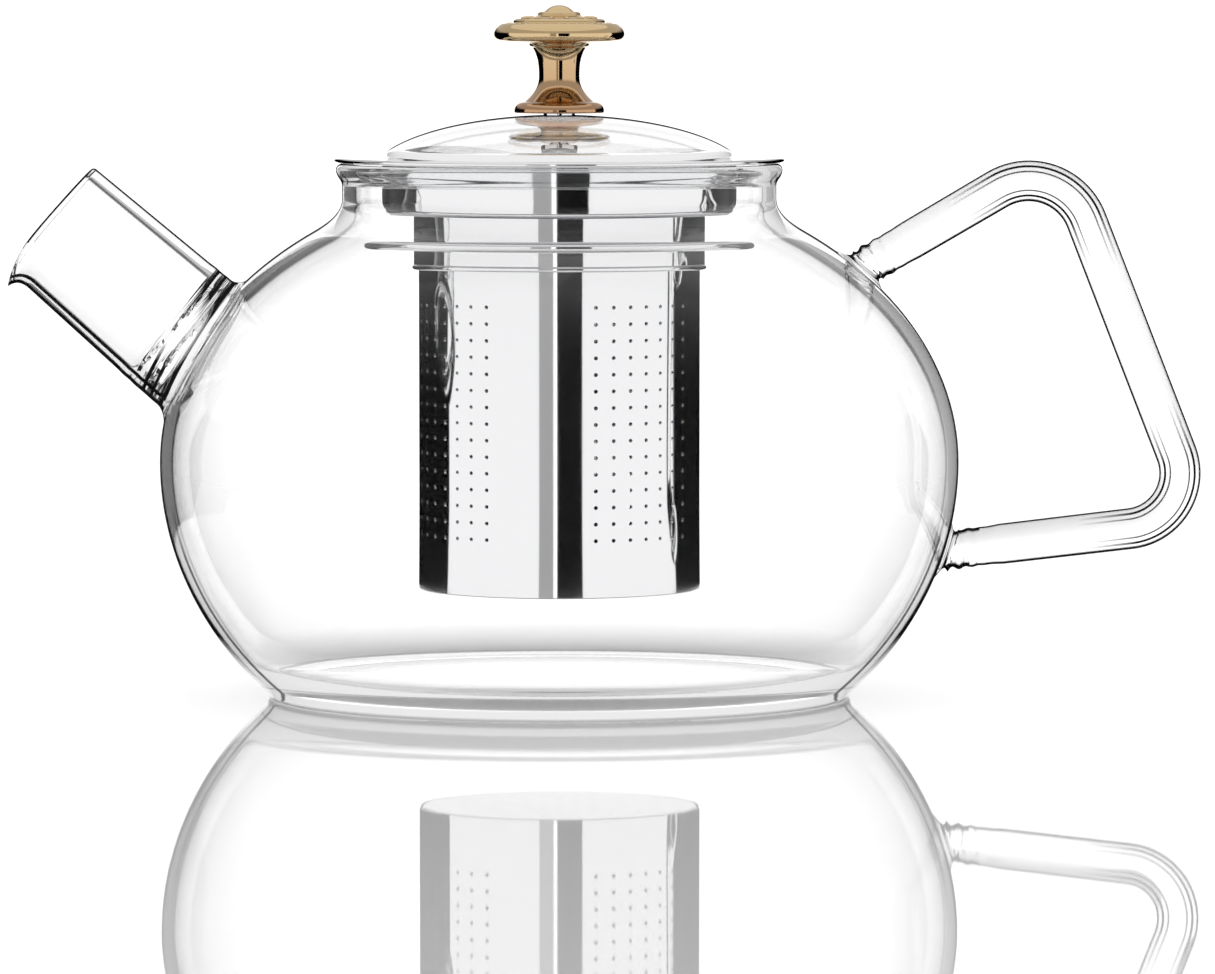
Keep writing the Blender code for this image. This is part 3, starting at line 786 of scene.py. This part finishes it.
def spoutPart(name, shape, spout, inner):
    # the spout's outer solid, or its bore where inner is set
    along, below = spoutAxes(spout)
    wall = spout["wall"] if inner else 0.0
    grow = -shape["wall"] if inner else 0.0
    length = bellySurface(shape, grow, spout["mouth"], -along)

    def radiusAt(height):
        share = min(1.0, max(0.0, height / length))
        swell = spout["bead"] * sum(math.exp(-((height - at) / (1.0 * mm)) ** 2) for at in spout["beadAt"])
        plain = spout["rootRadius"] * (1 - share) + spout["mouthRadius"] * share
        return plain - wall + swell * (-1.0 if inner else 0.12)

    profile = quarterFoot(1.5 * mm, 1.4 * mm, 8) if inner else quarterFoot(spout["foot"], 1.0 * mm, 12)
    rings = footRings(shape, grow, spout["mouth"], along, below, radiusAt, profile, 60, spout["sides"])
    last = rings.pop()
    outward = [(point - spout["mouth"]).normalized() for point in last]
    if inner:
        for out, ahead in ((0.0, -0.6), (0.12, -0.25), (0.35, 0.0), (0.35, 1.5)):
            rings.append([p + d * (out * mm) + along * (ahead * mm) for p, d in zip(last, outward)])
    else:
        for step in range(5):
            turn = math.radians(22.5 * step)
            back, ahead = 0.7 * mm * (1 - math.cos(turn)), 0.7 * mm * (math.sin(turn) - 1)
            rings.append([p - d * back + along * ahead for p, d in zip(last, outward)])
    rings.append([spout["mouth"] + (p - spout["mouth"]) * 0.75 for p in rings[-1]])
    if inner:
        rings[-1] = [p + along * (0.3 * mm) for p in rings[-1]]
    return cappedMesh(name, [[pullLip(spout, point) for point in ring] for ring in rings])


handleShape = {
    "corners": [(53.0, 80.15), (97.6, 106.3), (125.6, 34.5), (69.0, 27.85)],
    "bends": (12.1, 10.9),
    "radius": 3.75 * mm,
    "grip": 0.3 * mm,
    "foot": 1.7 * mm,
    "rings": 0.55 * mm,
    "ringStep": 2.6 * mm,
    "join": 9.0 * mm,
    "sides": 48,
}


def roundedPath(corners, bends, steps):
    # straight runs between the corners, with an arc at each inner one
    points = [Vector((x, 0.0, z)) * mm for x, z in corners]
    run = [points[0]]
    for i, bend in enumerate(bends):
        corner = points[i + 1]
        back = (points[i] - corner).normalized()
        ahead = (points[i + 2] - corner).normalized()
        half = back.angle(ahead) / 2
        reach = bend * mm / math.tan(half)
        middle = corner + (back + ahead).normalized() * (bend * mm / math.sin(half))
        start = corner + back * reach - middle
        axis = back.cross(ahead).normalized()
        sweep = math.pi - 2 * half
        for k in range(steps + 1):
            run.append(middle + Matrix.Rotation(-sweep * k / steps, 3, axis) @ start)
    run.append(points[-1])
    return run


def spreadPath(points, gap):
    # extra points on the straight runs, about gap apart
    run = [points[0]]
    for a, b in zip(points, points[1:]):
        count = max(1, round((b - a).length / gap))
        run += [a.lerp(b, i / count) for i in range(1, count + 1)]
    return run


def handleMesh(shape, rod):
    path = spreadPath(roundedPath(rod["corners"], rod["bends"], 22), 1.6 * mm)
    length = sum((b - a).length for a, b in zip(path, path[1:]))

    def thickness(gone):
        # a little fuller along the grip than at the two ends
        return rod["radius"] + rod["grip"] * math.sin(math.pi * min(1.0, max(0.0, gone / length))) ** 0.5

    def endRings(anchor, beyond):
        along = (beyond - anchor).normalized()
        outside = anchor + along * 60 * mm
        end = outside - along * (bellySurface(shape, 0.0, outside, -along) - rod["join"])
        across = yAxis.cross(along).normalized()
        profile = quarterFoot(rod["foot"], 0.9 * mm, 8)

        def radiusAt(height):
            ripple = math.cos(math.tau * height / rod["ringStep"]) * math.exp(-height / (3.5 * mm))
            fade = min(1.0, max(0.0, rod["join"] - height) / (3 * mm))
            return rod["radius"] + rod["rings"] * ripple * fade

        rings = footRings(shape, 0.0, end, along, across, radiusAt, profile, 26, rod["sides"])
        return end, along, rings

    startEnd, startAlong, startRings = endRings(path[0], path[1])
    finishEnd, finishAlong, finishRings = endRings(path[-1], path[-2])
    rings = list(startRings)
    gone = rod["join"]
    last = startEnd
    for i, point in enumerate(path[1:-1], start=1):
        if (point - startEnd).dot(startAlong) < 0.8 * mm and i < len(path) / 3:
            continue
        if (point - finishEnd).dot(finishAlong) < 0.8 * mm and i > len(path) * 2 / 3:
            continue
        gone += (point - last).length
        last = point
        along = (path[i + 1] - path[i - 1]).normalized()
        arrows = spokes(along, yAxis.cross(along).normalized(), rod["sides"])
        reach = thickness(gone)
        rings.append([point + arrow * reach for arrow in arrows])
    # the far foot is built looking the other way, so its rings run backwards
    sides = rod["sides"]
    for ring in reversed(finishRings):
        rings.append([ring[(sides // 2 - k) % sides] for k in range(sides)])
    return cappedMesh("handleRod", rings)


def makePot(shape, spout, rod):
    pot = newObject("fusedGlassPot", turnedMesh("potOuter", potOuter(shape), shape["sides"]))
    spoutBody = newObject("spoutBody", spoutPart("spoutBody", shape, spout, inner=False))
    rodBody = newObject("rodBody", handleMesh(shape, rod))
    inside = potInner(shape)
    clear = shape["rim"] + 4 * mm
    inside = [(0.0, clear), (inside[0][0], clear)] + inside
    hollow = newObject("hollow", turnedMesh("hollow", inside, shape["sides"]))
    bore = newObject("bore", spoutPart("bore", shape, spout, inner=True))
    combine(pot, "UNION", spoutBody)
    combine(pot, "UNION", rodBody)
    combine(pot, "DIFFERENCE", hollow)
    combine(pot, "DIFFERENCE", bore)
    mesh = bakedMesh(pot, "fusedGlassPot")
    for helper in (spoutBody, rodBody, hollow, bore):
        bpy.data.objects.remove(helper)
    pot = addPiece("fusedGlassPot", mesh, "pot", "pot_glass", "pot_body", "spout", "handle")
    pot.visible_shadow = False
    for glass in (rodGlass, spoutGlass, rimGlass, knotGlass):
        mesh.materials.append(glass)
    onRod, onSpout, onRim, onKnot = range(1, 5)
    along = spoutAxes(spout)[0]
    mouth = pullLip(spout, spout["mouth"] - along * spout["rimDepth"])
    grow = shape["fused"]
    for face in mesh.polygons:
        place = face.center
        spread = globeSpread(shape, grow, place)
        if spread <= 1.0 or abs(place.x) <= shape["clearOf"]:
            continue
        off = (math.sqrt(spread) - 1.0) * (shape["bellyRadius"] + grow)
        if place.x > 0:
            face.material_index = onKnot if off < shape["knot"] else onRod
            continue
        # painted shade: faces in these rings take the nearly black rim glass
        inPaintedShadeRing = any(low < off < high for low, high in spout["paintedShadeRings"])
        face.material_index = onRim if inPaintedShadeRing or (place - mouth).dot(along) > 0 else onSpout


makePot(potShape, spoutShape, handleShape)


def geometryTree(name, values):
    # a tree with a geometry input and output, and an input for each named value
    tree = bpy.data.node_groups.new(name, "GeometryNodeTree")
    tree.interface.new_socket("Geometry", in_out="INPUT", socket_type="NodeSocketGeometry")
    tree.interface.new_socket("Geometry", in_out="OUTPUT", socket_type="NodeSocketGeometry")
    kinds = {int: "NodeSocketInt", float: "NodeSocketFloat"}
    for key, value in values.items():
        kind = kinds.get(type(value), "NodeSocketMaterial")
        tree.interface.new_socket(key, in_out="INPUT", socket_type=kind)
    return tree, tree.nodes.new("NodeGroupInput").outputs


def growWith(shape, tree, values):
    # adds the tree to the shape as a modifier and sets its inputs by their identifiers
    modifier = shape.modifiers.new(tree.name, "NODES")
    modifier.node_group = tree
    for item in tree.interface.items_tree:
        if item.in_out == "INPUT" and item.name in values:
            modifier[item.identifier] = values[item.name]


def combineXYZ(tree, x, y, z):
    return addNode(tree, "ShaderNodeCombineXYZ", {"X": x, "Y": y, "Z": z}).outputs["Vector"]


def outwardFrom(tree):
    # each point's own place, without its height
    place = addNode(tree, "GeometryNodeInputPosition").outputs["Position"]
    values = {0: place, 1: (1.0, 1.0, 0.0)}
    return addNode(tree, "ShaderNodeVectorMath", values, operation="MULTIPLY").outputs["Vector"]


def realCopies(tree, points, mesh, values):
    # the mesh at each point, turned and scaled by the values
    spread = addNode(tree, "GeometryNodeInstanceOnPoints", {"Points": points, "Instance": mesh, **values})
    copies = {"Geometry": spread.outputs["Instances"]}
    return addNode(tree, "GeometryNodeRealizeInstances", copies).outputs["Geometry"]


def finishTree(tree, mesh, material):
    paint = addNode(tree, "GeometryNodeSetMaterial", {"Geometry": mesh, "Material": material})
    addNode(tree, "NodeGroupOutput", {"Geometry": paint.outputs["Geometry"]})
    return tree


def wholeAndRest(tree, value, size):
    # how many times size fits into value, and what is left over
    whole = mathNode(tree, "FLOOR", mathNode(tree, "DIVIDE", value, size))
    return whole, mathNode(tree, "SUBTRACT", value, product(tree, whole, size))


def pointsRound(tree, count, turn, reach, height):
    # points by their turn round the upright axis and their distance from it
    across = product(tree, mathNode(tree, "COSINE", turn), reach)
    deep = product(tree, mathNode(tree, "SINE", turn), reach)
    place = combineXYZ(tree, across, deep, height)
    return addNode(tree, "GeometryNodePoints", {"Count": count, "Position": place}).outputs["Points"]


def pinsThrough(tree, given, points, turned):
    # cuts a round pin through the incoming mesh at each point, and gives it the material
    sizes = {"Vertices": given["Hole Sides"], "Radius": given["Hole Radius"], "Depth": given["Pin Length"]}
    pin = addNode(tree, "GeometryNodeMeshCylinder", sizes)
    pins = realCopies(tree, points, pin.outputs["Mesh"], turned)
    meshes = {"Mesh 1": given["Geometry"], "Mesh 2": pins}
    cut = addNode(tree, "GeometryNodeMeshBoolean", meshes, operation="DIFFERENCE", solver="EXACT")
    return finishTree(tree, cut.outputs["Mesh"], given["Material"])


basketHoles = {
    "Hole Radius": 0.4 * mm,
    "Hole Sides": 12,
    "Pin Length": 2.4 * mm,
    "Wall Radius": 27.35 * mm,
    "Columns": 7,
    "Rows": 15,
    "Patches": 4,
    "First Turn": math.radians(-75.0),
    "Patch Turn": math.radians(90.0),
    "Column Turn": math.radians(7.5),
    "Top Row": 77.0 * mm,
    "Row Step": 3.19 * mm,
    "Material": steel,
}


def basketTree(values):
    # patches of straight rows and columns of holes, round an upright wall
    tree, given = geometryTree("basketHoles", values)
    rows = given["Rows"]
    perPatch = product(tree, rows, given["Columns"])
    count = product(tree, perPatch, given["Patches"])
    # a quarter is added so that a whole number never rounds down to the one below
    index = mathNode(tree, "ADD", addNode(tree, "GeometryNodeInputIndex").outputs["Index"], 0.25)
    patch, inPatch = wholeAndRest(tree, index, perPatch)
    column, inColumn = wholeAndRest(tree, inPatch, rows)
    row = mathNode(tree, "FLOOR", inColumn)
    turn = mathNode(tree, "ADD", given["First Turn"], product(tree, patch, given["Patch Turn"]))
    turn = mathNode(tree, "ADD", turn, product(tree, column, given["Column Turn"]))
    height = mathNode(tree, "SUBTRACT", given["Top Row"], product(tree, row, given["Row Step"]))
    points = pointsRound(tree, count, turn, given["Wall Radius"], height)
    align = addNode(tree, "FunctionNodeAlignRotationToVector", {"Vector": outwardFrom(tree)}, axis="Z")
    return pinsThrough(tree, given, points, {"Rotation": align.outputs["Rotation"]})


baseHoles = {
    "Hole Radius": 0.4 * mm,
    "Hole Sides": 12,
    "Pin Length": 4.0 * mm,
    "Ring Step": 6.6 * mm,
    "Hole Count": 37,
    "Height": 21.7 * mm,
    "Material": steel,
}


def baseTree(values):
    # one hole in the middle and rings of 6, 12, 18 ... round it
    tree, given = geometryTree("baseHoles", values)
    index = addNode(tree, "GeometryNodeInputIndex").outputs["Index"]
    # ring n starts at hole 3n(n - 1) + 1, solved here for n
    inner = mathNode(tree, "SUBTRACT", product(tree, index, 12.0), 2.99)
    root = mathNode(tree, "SQRT", mathNode(tree, "MAXIMUM", inner, 0.0))
    ring = mathNode(tree, "FLOOR", mathNode(tree, "DIVIDE", mathNode(tree, "ADD", root, 3.0), 6.0))
    before = product(tree, ring, 3.0, mathNode(tree, "SUBTRACT", ring, 1.0))
    inRing = mathNode(tree, "SUBTRACT", index, before)
    turn = mathNode(tree, "DIVIDE", product(tree, inRing, math.tau), product(tree, ring, 6.0))
    reach = product(tree, ring, given["Ring Step"])
    points = pointsRound(tree, given["Hole Count"], turn, reach, given["Height"])
    return pinsThrough(tree, given, points, {})


infuserShape = {
    "steel": 0.8 * mm,
    "brimRadius": 44.1 * mm,
    "brimTop": 105.3 * mm,
    "cupRadius": 34.6 * mm,
    "cupBottom": 93.5 * mm,
    "corner": 1.2 * mm,
    "sleeveInner": 27.95 * mm,
    "sleeveOuter": 28.55 * mm,
    "sleeveBottom": 83.7 * mm,
    "flangeRadius": 38.2 * mm,
    "flangeHeight": 88.3 * mm,
    "flangeRoll": 0.9 * mm,
    "basketRadius": 27.6 * mm,
    "basketWall": 0.5 * mm,
    "basketBottom": 21.3 * mm,
    "sealBottom": 100.9 * mm,
    "sealTop": 103.9 * mm,
    "sealOuter": 39.4 * mm,
    "sides": 192,
}


def collarOutline(shape):
    # cup floor, cup wall and brim, bent from one sheet, with a small bead at the brim's edge
    steelThick = shape["steel"]
    top = shape["brimTop"]
    underside = top - steelThick - 0.1 * mm
    cupInner = shape["cupRadius"] - steelThick
    floorTop = shape["cupBottom"] + steelThick
    corner = shape["corner"]
    hole = shape["sleeveInner"] - 0.6 * mm
    cup, low, bend = shape["cupRadius"], shape["cupBottom"], 0.5 * mm
    run = [(hole, low)]
    run += roundArc((cup - corner, low + corner), corner, -90, 0, 8)
    run += [(cup, underside - bend)]
    run += roundArc((cup + bend, underside - bend), bend, 180, 90, 5)
    edge = (shape["brimRadius"] - 0.55 * mm, top - 0.4 * mm)
    run += [(shape["brimRadius"] - 1.2 * mm, underside)]
    run += ellipseArc(edge, (0.55 * mm, 0.5 * mm), -80, 110, 10)
    run += [(shape["brimRadius"] - 1.4 * mm, top)]
    run += roundArc((cupInner + corner, top - corner), corner, 90, 180, 8)
    run += roundArc((cupInner - 0.7 * mm, floorTop + 0.7 * mm), 0.7 * mm, 0, -90, 6)
    return run + [(hole, floorTop)]


def flangeOutline(shape):
    # a thin sleeve with a wide flange part-way up, ending in a rolled edge
    top = shape["cupBottom"] - 0.3 * mm
    half = 0.35 * mm
    inner, outer, low = shape["sleeveInner"], shape["sleeveOuter"], shape["sleeveBottom"]
    height = shape["flangeHeight"]
    roll = shape["flangeRoll"]
    run = [(inner, low), (outer, low)]
    run += ellipseArc((outer, low + 0.5 * mm), (0.3 * mm, 0.5 * mm), -90, 90, 8)
    run += [(outer, height - half - 0.8 * mm)]
    run += roundArc((outer + 0.8 * mm, height - half - 0.8 * mm), 0.8 * mm, 180, 90, 5)
    run += roundArc((shape["flangeRadius"] - roll, height), roll, -157, 157, 18)
    run += roundArc((outer + 0.8 * mm, height + half + 0.8 * mm), 0.8 * mm, 270, 180, 5)
    return run + [(outer, top), (inner, top)]


def sealOutline(shape):
    # a soft ring with rounded corners
    inner = shape["cupRadius"] + 0.3 * mm
    low, top, outer = shape["sealBottom"], shape["sealTop"], shape["sealOuter"]
    corner = 0.5 * mm
    run = [(inner, low + 0.2 * mm), (inner + 0.2 * mm, low)]
    run += roundArc((outer - corner, low + corner), corner, -90, 0, 8)
    run += roundArc((outer - corner, top - corner), corner, 0, 90, 8)
    return run + [(inner + 0.2 * mm, top), (inner, top - 0.2 * mm)]


def makeInfuser(shape):
    turned = (
        ("steelCollar", collarOutline, "polished_steel", "infuser_collar"),
        ("sealRing", sealOutline, "clear_silicone", "infuser_seal"),
        ("flangedSleeve", flangeOutline, "polished_steel", "infuser_flange"),
    )
    for name, outline, slotName, node in turned:
        addPiece(name, turnedMesh(name, outline(shape), shape["sides"]), "infuser", slotName, node)
    radius, low, top = shape["basketRadius"], shape["basketBottom"], shape["cupBottom"] - 0.3 * mm
    bore = radius - shape["basketWall"]
    wall = [(bore, low + 0.1 * mm), (bore + 0.1 * mm, low)]
    wall += [(radius - 0.15 * mm, low), (radius, low + 0.15 * mm)]
    wall += [(radius, low + 6 * mm), (radius, 28 * mm), (radius, 81 * mm), (radius, top), (bore, top)]
    wall += [(bore, 81 * mm), (bore, 28 * mm)]
    edge, thick = bore - 0.3 * mm, shape["steel"]
    disc = [(0.0, low), (edge - 0.2 * mm, low), (edge, low + 0.2 * mm), (edge, low + thick - 0.2 * mm)]
    disc += [(edge - 0.2 * mm, low + thick), (0.0, low + thick)]
    pierced = (
        ("perforatedBasket", wall, 144, basketTree, basketHoles, "infuser_basket"),
        ("perforatedBase", disc, 96, baseTree, baseHoles, "infuser_base"),
    )
    for name, outline, sides, makeTree, values, node in pierced:
        plain = newObject(name, turnedMesh(name + "Plain", outline, sides))
        growWith(plain, makeTree(values), values)
        addPiece(name, bakedMesh(plain, name), "infuser", "polished_steel", node)


makeInfuser(infuserShape)


lidShape = {
    "radius": 36.75 * mm,
    "rise": 12.25 * mm,
    "centre": 100.4 * mm,
    "halfWall": 1.0 * mm,
    "edge": 32.85 * mm,
    "hole": 3.4 * mm,
    "sides": 176,
}


def domeOutline(shape):
    half = shape["halfWall"]
    last = math.degrees(math.acos(shape["edge"] / shape["radius"]))
    first = math.degrees(math.acos((shape["hole"] + 0.1 * mm) / shape["radius"]))
    middle = ellipseArc((0.0, shape["centre"]), (shape["radius"], shape["rise"]), first, last, 40)
    middle[0] = (shape["hole"], middle[0][1])
    top, under = [], []
    for radius, height in middle:
        rise = (height - shape["centre"]) / shape["rise"] ** 2
        slope = Vector((radius / shape["radius"] ** 2, rise)).normalized()
        top.append((radius + slope.x * half, height + slope.y * half))
        under.append((radius - slope.x * half, height - slope.y * half))
    top[0] = (shape["hole"], top[0][1])
    under[0] = (shape["hole"], under[0][1])
    radius, height = middle[-1]
    facing = math.degrees(math.atan2(top[-1][1] - height, top[-1][0] - radius))
    edge = roundArc((radius, height), half, facing, facing - 180.0, 12)[1:-1]
    return under[::-1] + top + edge


def smoothRun(points, steps):
    # a smooth curve through every point
    run = []
    last = len(points) - 1
    for i in range(last):
        a, b, c, d = (Vector(points[k]) for k in (max(0, i - 1), i, i + 1, min(last, i + 2)))
        for k in range(steps):
            t = k / steps
            place = b + (c - a) * (t / 2) + (a * 2 - b * 5 + c * 4 - d) * (t * t / 2)
            place += (b * 3 - a - c * 3 + d) * (t ** 3 / 2)
            run.append(tuple(place))
    return run + [tuple(points[last])]


knobShape = {
    "bore": [(0.0, 123.0), (2.0, 122.4), (2.0, 115.1), (7.3, 115.1), (7.3, 114.0)],
    "foot": [(8.3, 114.0), (8.66, 114.04), (8.8, 114.25), (8.78, 114.8), (8.55, 115.4), (8.1, 115.85),
             (7.45, 116.12), (6.95, 116.2), (6.7, 116.35), (6.0, 116.95), (5.1, 117.95), (4.4, 119.1),
             (4.03, 120.4), (4.0, 122.2), (4.2, 124.1), (4.7, 125.7), (5.3, 126.75)],
    "under": [(5.3, 126.75), (5.75, 127.0), (6.0, 127.35), (6.5, 127.65), (8.6, 127.78),
              (11.2, 127.9), (12.2, 128.2), (12.68, 128.75), (12.82, 129.4), (12.68, 130.0),
              (12.35, 130.6), (11.7, 131.2)],
    "cap": [(11.7, 131.2), (11.2, 131.4), (10.8, 131.2), (9.2, 131.45), (8.95, 132.0), (8.55, 132.3),
            (8.1, 132.25), (7.85, 132.0), (6.4, 132.45), (4.4, 132.95), (4.15, 133.4), (3.7, 133.7),
            (3.2, 133.6), (2.9, 133.75), (2.0, 134.45), (1.0, 134.88), (0.0, 135.0)],
    "sides": 128,
}

capBeads = {
    "Count": 36,
    "Ring Radius": 9.95 * mm,
    "Height": 131.25 * mm,
    "Bead Length": 0.42 * mm,
    "Bead Width": 0.36 * mm,
    "Bead Height": 0.34 * mm,
    "Material": gold,
}

capPetals = {
    "Count": 14,
    "Ring Radius": 6.15 * mm,
    "Height": 132.42 * mm,
    "Bead Length": 1.35 * mm,
    "Bead Width": 0.55 * mm,
    "Bead Height": 0.42 * mm,
    "Material": gold,
}


def beadTree(values):
    # a ring of rounded beads laid on the knob's cap, each pointing away from the middle
    tree, given = geometryTree("capBeads", values)
    ring = {"Vertices": given["Count"], "Radius": given["Ring Radius"]}
    circle = addNode(tree, "GeometryNodeMeshCircle", ring).outputs["Mesh"]
    height = combineXYZ(tree, 0.0, 0.0, given["Height"])
    lifted = addNode(tree, "GeometryNodeTransform", {"Geometry": circle, "Translation": height})
    bead = addNode(tree, "GeometryNodeMeshUVSphere", {"Segments": 16, "Rings": 10}).outputs["Mesh"]
    kind = "FunctionNodeAlignRotationToVector"
    align = addNode(tree, kind, {"Vector": outwardFrom(tree)}, axis="X", pivot_axis="Z")
    size = combineXYZ(tree, given["Bead Length"], given["Bead Width"], given["Bead Height"])
    turned = {"Rotation": align.outputs["Rotation"], "Scale": size}
    beads = realCopies(tree, lifted.outputs["Geometry"], bead, turned)
    join = addNode(tree, "GeometryNodeJoinGeometry", {"Geometry": beads})
    tree.links.new(given["Geometry"], join.inputs["Geometry"])
    return finishTree(tree, join.outputs["Geometry"], given["Material"])


def inMetres(points, foot=0.0):
    # points in millimetres, with heights above foot
    return [(radius * mm, foot + height * mm) for radius, height in points]


def makeKnob(shape):
    outline = inMetres(shape["bore"]) + smoothRun(inMetres(shape["foot"]), 4)
    outline += smoothRun(inMetres(shape["under"]), 4)[1:] + smoothRun(inMetres(shape["cap"]), 4)[1:]
    knob = newObject("goldKnob", turnedMesh("goldKnob", outline, shape["sides"], 45.0))
    tree = beadTree(capBeads)
    for values in (capBeads, capPetals):
        growWith(knob, tree, values)
    addPiece("goldKnob", bakedMesh(knob, "goldKnob", 45.0), "lid", "gold_plate", "knob")


def roundedRing(inner, outer, low, top, corner):
    run = roundArc((inner + corner, low + corner), corner, 180, 270, 4)
    run += roundArc((outer - corner, low + corner), corner, 270, 360, 4)
    run += roundArc((outer - corner, top - corner), corner, 0, 90, 4)
    return run + roundArc((inner + corner, top - corner), corner, 90, 180, 4)


fixingShape = {
    "low": 109.7 * mm,
    "washerFoot": [(2.0, 0.0), (4.5, 0.0)],
    "dish": [(6.0, 0.0), (7.8, 0.14), (9.3, 0.45), (9.85, 0.72), (9.9, 0.92), (9.6, 1.05), (8.6, 0.78),
             (7.0, 0.64), (5.2, 0.6)],
    "neck": [(3.6, 0.66), (3.22, 0.9), (3.1, 1.3)],
    "neckTop": [(3.1, 4.5), (2.9, 4.7), (2.0, 4.7)],
    "shank": 1.7 * mm,
    "head": 3.6 * mm,
    "slotWidth": 0.8 * mm,
    "slotLength": 4.0 * mm,
    "sides": 96,
}


def makeFixings(shape):
    low, sides = shape["low"], shape["sides"]
    upperPad = roundedRing(3.4 * mm, 6.8 * mm, 114.15 * mm, 114.8 * mm, 0.2 * mm)
    lowerPad = roundedRing(4.6 * mm, 7.2 * mm, low + 1.1 * mm, low + 1.45 * mm, 0.12 * mm)
    for name, outline, node in (("knobPad", upperPad, "knob_pad"), ("washerPad", lowerPad, "washer_pad")):
        addPiece(name, turnedMesh(name, outline, sides), "lid", "clear_silicone", node)
    outline = inMetres(shape["washerFoot"], low)
    outline += smoothRun(inMetres(shape["dish"], low), 4) + smoothRun(inMetres(shape["neck"], low), 4)
    washer = turnedMesh("dishWasher", outline + inMetres(shape["neckTop"], low), sides)
    addPiece("dishWasher", washer, "lid", "polished_steel", "lid_washer")

    seat = low - 0.3 * mm
    head = shape["head"]
    outline = [(0.0, seat - 1.9 * mm)]
    outline += ellipseArc((0.0, seat - 0.5 * mm), (head, 1.4 * mm), -86, 0, 16) + [(head, seat)]
    outline += [(shape["shank"], seat), (shape["shank"], 121.2 * mm)]
    outline += [(1.1 * mm, 121.8 * mm), (0.0, 121.8 * mm)]
    screw = newObject("crossScrew", turnedMesh("crossScrew", outline, 64))
    half, long = shape["slotWidth"] / 2, shape["slotLength"] / 2
    work = bmesh.new()
    for x, y in ((long, half), (half, long)):
        box = bmesh.ops.create_cube(work, size=1.0)["verts"]
        bmesh.ops.scale(work, vec=(2 * x, 2 * y, 1.6 * mm), verts=box)
        bmesh.ops.translate(work, vec=(0.0, 0.0, seat - 1.6 * mm), verts=box)
    cross = newObject("crossCutter", meshFrom("crossCutter", work))
    combine(screw, "DIFFERENCE", cross).modifiers[-1].use_self = True
    mesh = bakedMesh(screw, "crossScrew")
    bpy.data.objects.remove(cross)
    addPiece("crossScrew", mesh, "lid", "polished_steel", "knob_screw")


dome = turnedMesh("domedLid", domeOutline(lidShape), lidShape["sides"])
addPiece("domedLid", dome, "lid", "lid_glass", "lid_glass").visible_shadow = False
makeKnob(knobShape)
makeFixings(fixingShape)

# the plain solids under the pieces take the same finishes
slotLooks = {
    "pot_body": potGlass, "spout": potGlass, "handle": rodGlass, "lid_glass": lidGlass, "knob": gold,
    "infuser_seal": silicone, "knob_pad": silicone, "washer_pad": silicone,
}
for name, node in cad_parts.items():
    node.data.materials.clear()
    node.data.materials.append(slotLooks.get(name, steel))
